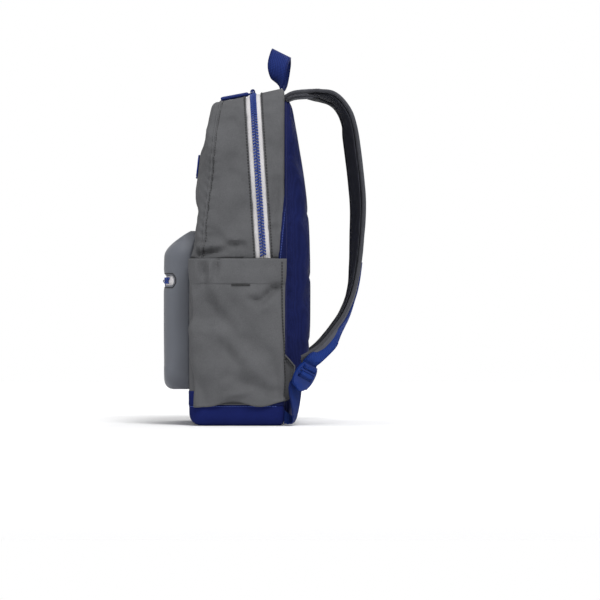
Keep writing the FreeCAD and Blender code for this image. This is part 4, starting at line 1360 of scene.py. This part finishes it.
upper_rows = []
for k in range(10):
    centre, across, out, wide, thick = strap_frame(11 + k * 0.4)
    turn = eased((k - 6) / 4)
    upper_rows.append((*(centre + out * (thick / 2 + 0.0006)), *(across * (1 - turn) + LOCK_ACROSS * turn)))
upper_rows += lock_rows([(14, 0.2), (7, -2.6), (1.5, -3.4), (-2.4, -2.4), (-3.4, 0), (-2.3, 2.4),
                         (0.4, 3.2)])
light_webbing = webbing_material("light_blue_webbing", (0.005, 0.017, 0.11), (0.018, 0.052, 0.26), WEB_WIDE)
# The deep webbing is the same blue webbing painted about a third darker, as painted shade, for the lengths
# low by the bag's bottom corner.
webbing_in_painted_shade = webbing_material("blue_webbing_painted_shade", (0.004, 0.011, 0.07), (0.012, 0.032, 0.165), WEB_WIDE)
pair("strap_lower_webbing", ribbon(upper_rows, WEB_WIDE, WEB_THICK), light_webbing,
     ("strap_webbing",), body="strap_{}")


def corner_row(x, y, z, twist):
    """One row of the lower webbing near the bag's corner, twisted by so many degrees."""
    angle = math.radians(twist)
    return (x * MM, y * MM, z * MM, math.cos(angle), -math.sin(angle) * 0.95, math.sin(angle) * 0.3)


lower_rows = lock_rows([(-14.6, 2.9), (-17.4, 1.0), (-17.2, -3.4), (-20, -5.4), (-26, -6.2), (-33, -6.4)])
lower_rows += [corner_row(148.5, 70, 44, 40), corner_row(147.5, 70.5, 28, 25), corner_row(144.5, 70, 14, 12),
               corner_row(141, 67, 5, 4), corner_row(140, 60, 3.4, 0)]
TO_LOCK = ("strap_{}", "ladder_lock_{}", tuple(lock_point(0, -42, -5)), tuple(lock_point(0, -24, -5)))
pair("lower_webbing_run", ribbon(lower_rows, WEB_WIDE, WEB_THICK), webbing_in_painted_shade,
     ("lower_webbing",), fold=TO_LOCK)
tail_rows = lock_rows([(-8.6, -1.0), (-9.4, 1.6), (-12, 2.9), (-14.8, 1.6), (-16.0, -1.4), (-19, -3.0),
                       (-24, -3.7), (-31, -4.0)])
pair("webbing_end", ribbon(tail_rows, WEB_WIDE - 0.001, WEB_THICK), light_webbing,
     ("webbing_tail",), body="ladder_lock_{}")

# Half widths of the lock from its hinge side to the lip, with its two windows and two ribbed bars
LOCK_HALVES = [(13.0,), (16.4,), (17.6,), (17.9,), (17.2,), (14.0,), (8.5,)]
LOCK_TOP, LOCK_LIP = 3.4, -35.0
lock_plastic = moulded_material("blue_lock_plastic", (0.006, 0.024, 0.15), rough=0.36, grain=1800, bump=0.2,
                                wear=0.12, gloss=0.16)


def lock_half(up):
    """Half the lock's width at a height."""
    return smooth_between(LOCK_HALVES, (LOCK_TOP - up) / (LOCK_TOP - LOCK_LIP) * (len(LOCK_HALVES) - 1))[0]


plate = bmesh.new()
bmesh.ops.create_grid(plate, x_segments=12, y_segments=16, size=1)
for vert in plate.verts:
    vert.co = Vector((vert.co.x, LOCK_LIP + (vert.co.y + 1) / 2 * (LOCK_TOP - LOCK_LIP), 0))
for level in (-2.2, -9.8, -14.2, -18.0):
    trim(plate, (0, level, 0), (0, 1, 0), drop=False)
for level in (-0.77, 0.77):
    trim(plate, (level, 0, 0), (1, 0, 0), drop=False)
for face in plate.faces[:]:
    spot = face.calc_center_median()
    if abs(spot.x) < 0.77 and (-9.8 < spot.y < -2.2 or -18.0 < spot.y < -14.2):
        plate.faces.remove(face)
for vert in plate.verts:
    across, up = vert.co.x, vert.co.y
    curl = 3.4 * eased((-24 - up) / 11) - 1.2 * across * across
    tip = 1 - 0.10 * eased((-30 - up) / 5) * across * across
    vert.co = lock_point(across * lock_half(up), up * tip, curl)
lock_frame = new_piece("lock_plate", plate, lock_plastic)
wall = lock_frame.modifiers.new("wall", "SOLIDIFY")
wall.thickness, wall.offset = 0.0042, 0
edges = lock_frame.modifiers.new("edges", "BEVEL")
edges.width, edges.segments, edges.limit_method, edges.angle_limit = 0.0009, 3, "ANGLE", math.radians(40)
settle(lock_frame)
body_of_lock = bmesh.new()
body_of_lock.from_mesh(lock_frame.data)
bpy.data.objects.remove(lock_frame)
for up, out, radius in ((0.0, 0.4, 2.3), (-6.6, 0.6, 2.1), (-12.0, 0.2, 2.2)):
    reach = lock_half(up) - 2.2
    bar = bmesh.ops.create_cone(body_of_lock, cap_ends=True, segments=20, radius1=radius, radius2=radius,
                                depth=2 * reach)["verts"]
    for k, vert in enumerate(bar):
        angle = math.atan2(vert.co.y, vert.co.x)
        size = radius * (1 - 0.06 * (round(angle / math.radians(18)) % 2))
        vert.co = lock_point(vert.co.z, up + size * math.cos(angle), out + size * math.sin(angle))
bmesh.ops.recalc_face_normals(body_of_lock, faces=body_of_lock.faces)
pair("ladder_lock_body", body_of_lock, lock_plastic, ("ladder_lock",), body="ladder_lock_{}")


# ---------------------------------------------------------------- Tabs at the bottom corners
# A folded cloth wing braces each lower corner, and a short webbing loop anchors the strap there.
def cut_cloth(outline, x, wall, soft):
    """A flat tab cut to an outline in y and z, with its thickness and soft edges."""
    bm = bmesh.new()
    bm.faces.new([bm.verts.new((x, y * MM, z * MM)) for y, z in outline])
    bmesh.ops.recalc_face_normals(bm, faces=bm.faces)
    bmesh.ops.solidify(bm, geom=bm.faces[:], thickness=wall)
    break_edges(bm, bm.edges[:], soft, segments=3)
    bmesh.ops.recalc_face_normals(bm, faces=bm.faces)
    flat = bm.loops.layers.uv.new("flat")
    for face in bm.faces:
        for loop in face.loops:
            loop[flat].uv = (loop.vert.co.y - 0.0605, loop.vert.co.z)
    return bm


WING = [(54.5, 33), (64, 39), (69.5, 82), (54.5, 99)]
ANCHOR = [(54.5, 2.6), (66.5, 3.4), (66.5, 13.2), (54.5, 22)]
WING_EDGE = [(55, 98.4), (62, 90.6), (69.0, 82.4), (68.4, 76), (64.6, 44), (63.6, 39.6), (58, 36), (55, 34.4)]
pair("corner_wing", cut_cloth(WING, 0.1355, 0.0026, 0.0007), grey_cloth, ("wing_tab",),
     body="pack")
pair("corner_anchor", cut_cloth(ANCHOR, 0.1415, 0.0030, 0.0008), webbing_in_painted_shade,
     ("web_anchor",), body="pack")
for hand, side in HANDS:
    fold_line = [(Vector((0.1372 * side, y * MM, z * MM)), Vector((side, 0, 0))) for y, z in WING_EDGE]
    edge_fold = cord_tube("wing_fold_" + hand, fold_line, 0.0013, grey_cloth)
    follow(edge_fold, "pack")
    inner = [(spot + Vector((0.0002 * side, -0.0034, 0)), out) for spot, out in fold_line[1:6]]
    follow(stitch_row("wing_stitches_" + hand, inner, grey_thread, lift=0.0002), "pack")


# ---------------------------------------------------------------- The haul loop
# One length of deep blue webbing sewn into the rear seam at both feet, turned on edge at its top.
HAUL = [(32, 49.4, 463, 1, 0, 0), (32, 49, 472.2, 1, 0, 0), (34.5, 46.5, 488, 0.72, 0.69, 0),
        (29, 45.5, 505, 0.40, 0.90, -0.15), (15, 49, 519, 0.12, 0.91, -0.39),
        (0, 50.5, 522.5, 0, 0.894, -0.447)]
HAUL_WIDE, HAUL_THICK = 0.030, 0.0021
haul_rows = HAUL + [(-x, y + (3.5 if z > 470 else 0) * (z < 510), z, -a, b, c)
                    for x, y, z, a, b, c in reversed(HAUL[:-1])]
haul_rows = [(x * MM, y * MM, z * MM, a, b, c) for x, y, z, a, b, c in haul_rows]
haul_webbing = webbing_material("haul_webbing", (0.005, 0.010, 0.070), (0.016, 0.034, 0.175), HAUL_WIDE)
haul = new_piece("haul_loop_webbing", ribbon(haul_rows, HAUL_WIDE, HAUL_THICK), haul_webbing)
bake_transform(haul)
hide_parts("haul_loop", "haul_loop_foot_right", "haul_loop_foot_left")


# ---------------------------------------------------------------- The label
# A plain blue woven patch, sewn round its edge to the front panel.
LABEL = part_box("label_patch")
label_cloth = cloth_material("blue_label_cloth", (0.008, 0.02, 0.16), (0.018, 0.04, 0.26), threads=2400)
patch = bag_part("plain_label", [((LABEL[1][0], 0, 0), (1, 0, 0)), ((LABEL[0][0], 0, 0), (-1, 0, 0)),
                                 ((0, 0, LABEL[1][2]), UP), ((0, 0, LABEL[0][2]), DOWN),
                                 ((0, -0.03, 0), (0, 1, 0))], label_cloth)
stand_proud(patch, 0.0026)
thicken(patch, 0.0017)
follow_flap(patch)
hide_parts("label_patch")


# ---------------------------------------------------------------- Inside the bag
# Boards and the laptop sleeve keep their plain forms, in bonded board and quilted lining cloth.
board = moulded_material("pressed_board", (0.10, 0.095, 0.085), rough=0.8, grain=700, bump=0.4)
sleeve_cloth = cloth_material("sleeve_lining", (0.018, 0.02, 0.03), (0.032, 0.036, 0.052), threads=1100,
                              bump=0.4)
for part, material in (("back_board", board), ("base_board", board), ("laptop_sleeve", sleeve_cloth)):
    for held_slot in bpy.data.objects[part].material_slots:
        held_slot.material = material


# ---------------------------------------------------------------- The room, light and camera
# A pale floor in a white room, a soft sun with three large lamps, and a long lens on the right side.
sweep = bmesh.new()
bmesh.ops.create_grid(sweep, x_segments=2, y_segments=2, size=3)
floor = new_piece("floor", sweep, None)
pale, _, pale_surface = new_material("pale_floor")
pale_surface.inputs["Base Color"].default_value = (0.90, 0.90, 0.905, 1)
pale_surface.inputs["Roughness"].default_value = 0.9
floor.data.materials.append(pale)

world = bpy.data.worlds.new("studio")
bpy.context.scene.world = world
world.use_nodes = True
world.node_tree.nodes["Background"].inputs["Color"].default_value = (1, 1, 1, 1)
ray = node(world.node_tree, "ShaderNodeLightPath")
glow = node(world.node_tree, "ShaderNodeMapRange", {"Value": ray.outputs["Is Camera Ray"], "To Min": 0.46,
                                                    "To Max": 1.0})
world.node_tree.links.new(glow.outputs[0], world.node_tree.nodes["Background"].inputs["Strength"])

for name, kind, place, size, power in (
        ("key", "SUN", (1.9, 0.8, 2.9), 0.42, 2.2), ("fill", "AREA", (2.4, -2.4, 0.9), 1.8, 8),
        ("top", "AREA", (0.2, -0.4, 3.0), 2.2, 18), ("back", "AREA", (-2.4, 1.5, 1.8), 2.0, 30)):
    light = bpy.data.lights.new(name, kind)
    if kind == "SUN":
        light.angle = size
    else:
        light.size = size
    light.energy = power
    lamp = bpy.data.objects.new(name, light)
    lamp.location = place
    lamp.rotation_euler = (Vector((0, 0, 0.25)) - Vector(place)).to_track_quat("-Z", "Y").to_euler()
    bpy.context.scene.collection.objects.link(lamp)

bpy.context.scene.view_settings.view_transform = "Standard"
DISTANCE, VIEW_WIDTH = 6.0, 0.8286
lens = bpy.data.cameras.new("camera")
lens.lens = lens.sensor_width * DISTANCE / VIEW_WIDTH
camera = bpy.data.objects.new("camera", lens)
camera.location = (BAG_HALF + DISTANCE, 0.0766, 0.174)
camera.rotation_euler = (math.pi / 2, 0, math.pi / 2)
bpy.context.scene.collection.objects.link(camera)
bpy.context.scene.camera = camera

bpy.data.objects.remove(bag_form)
bpy.data.objects.remove(pocket_form)
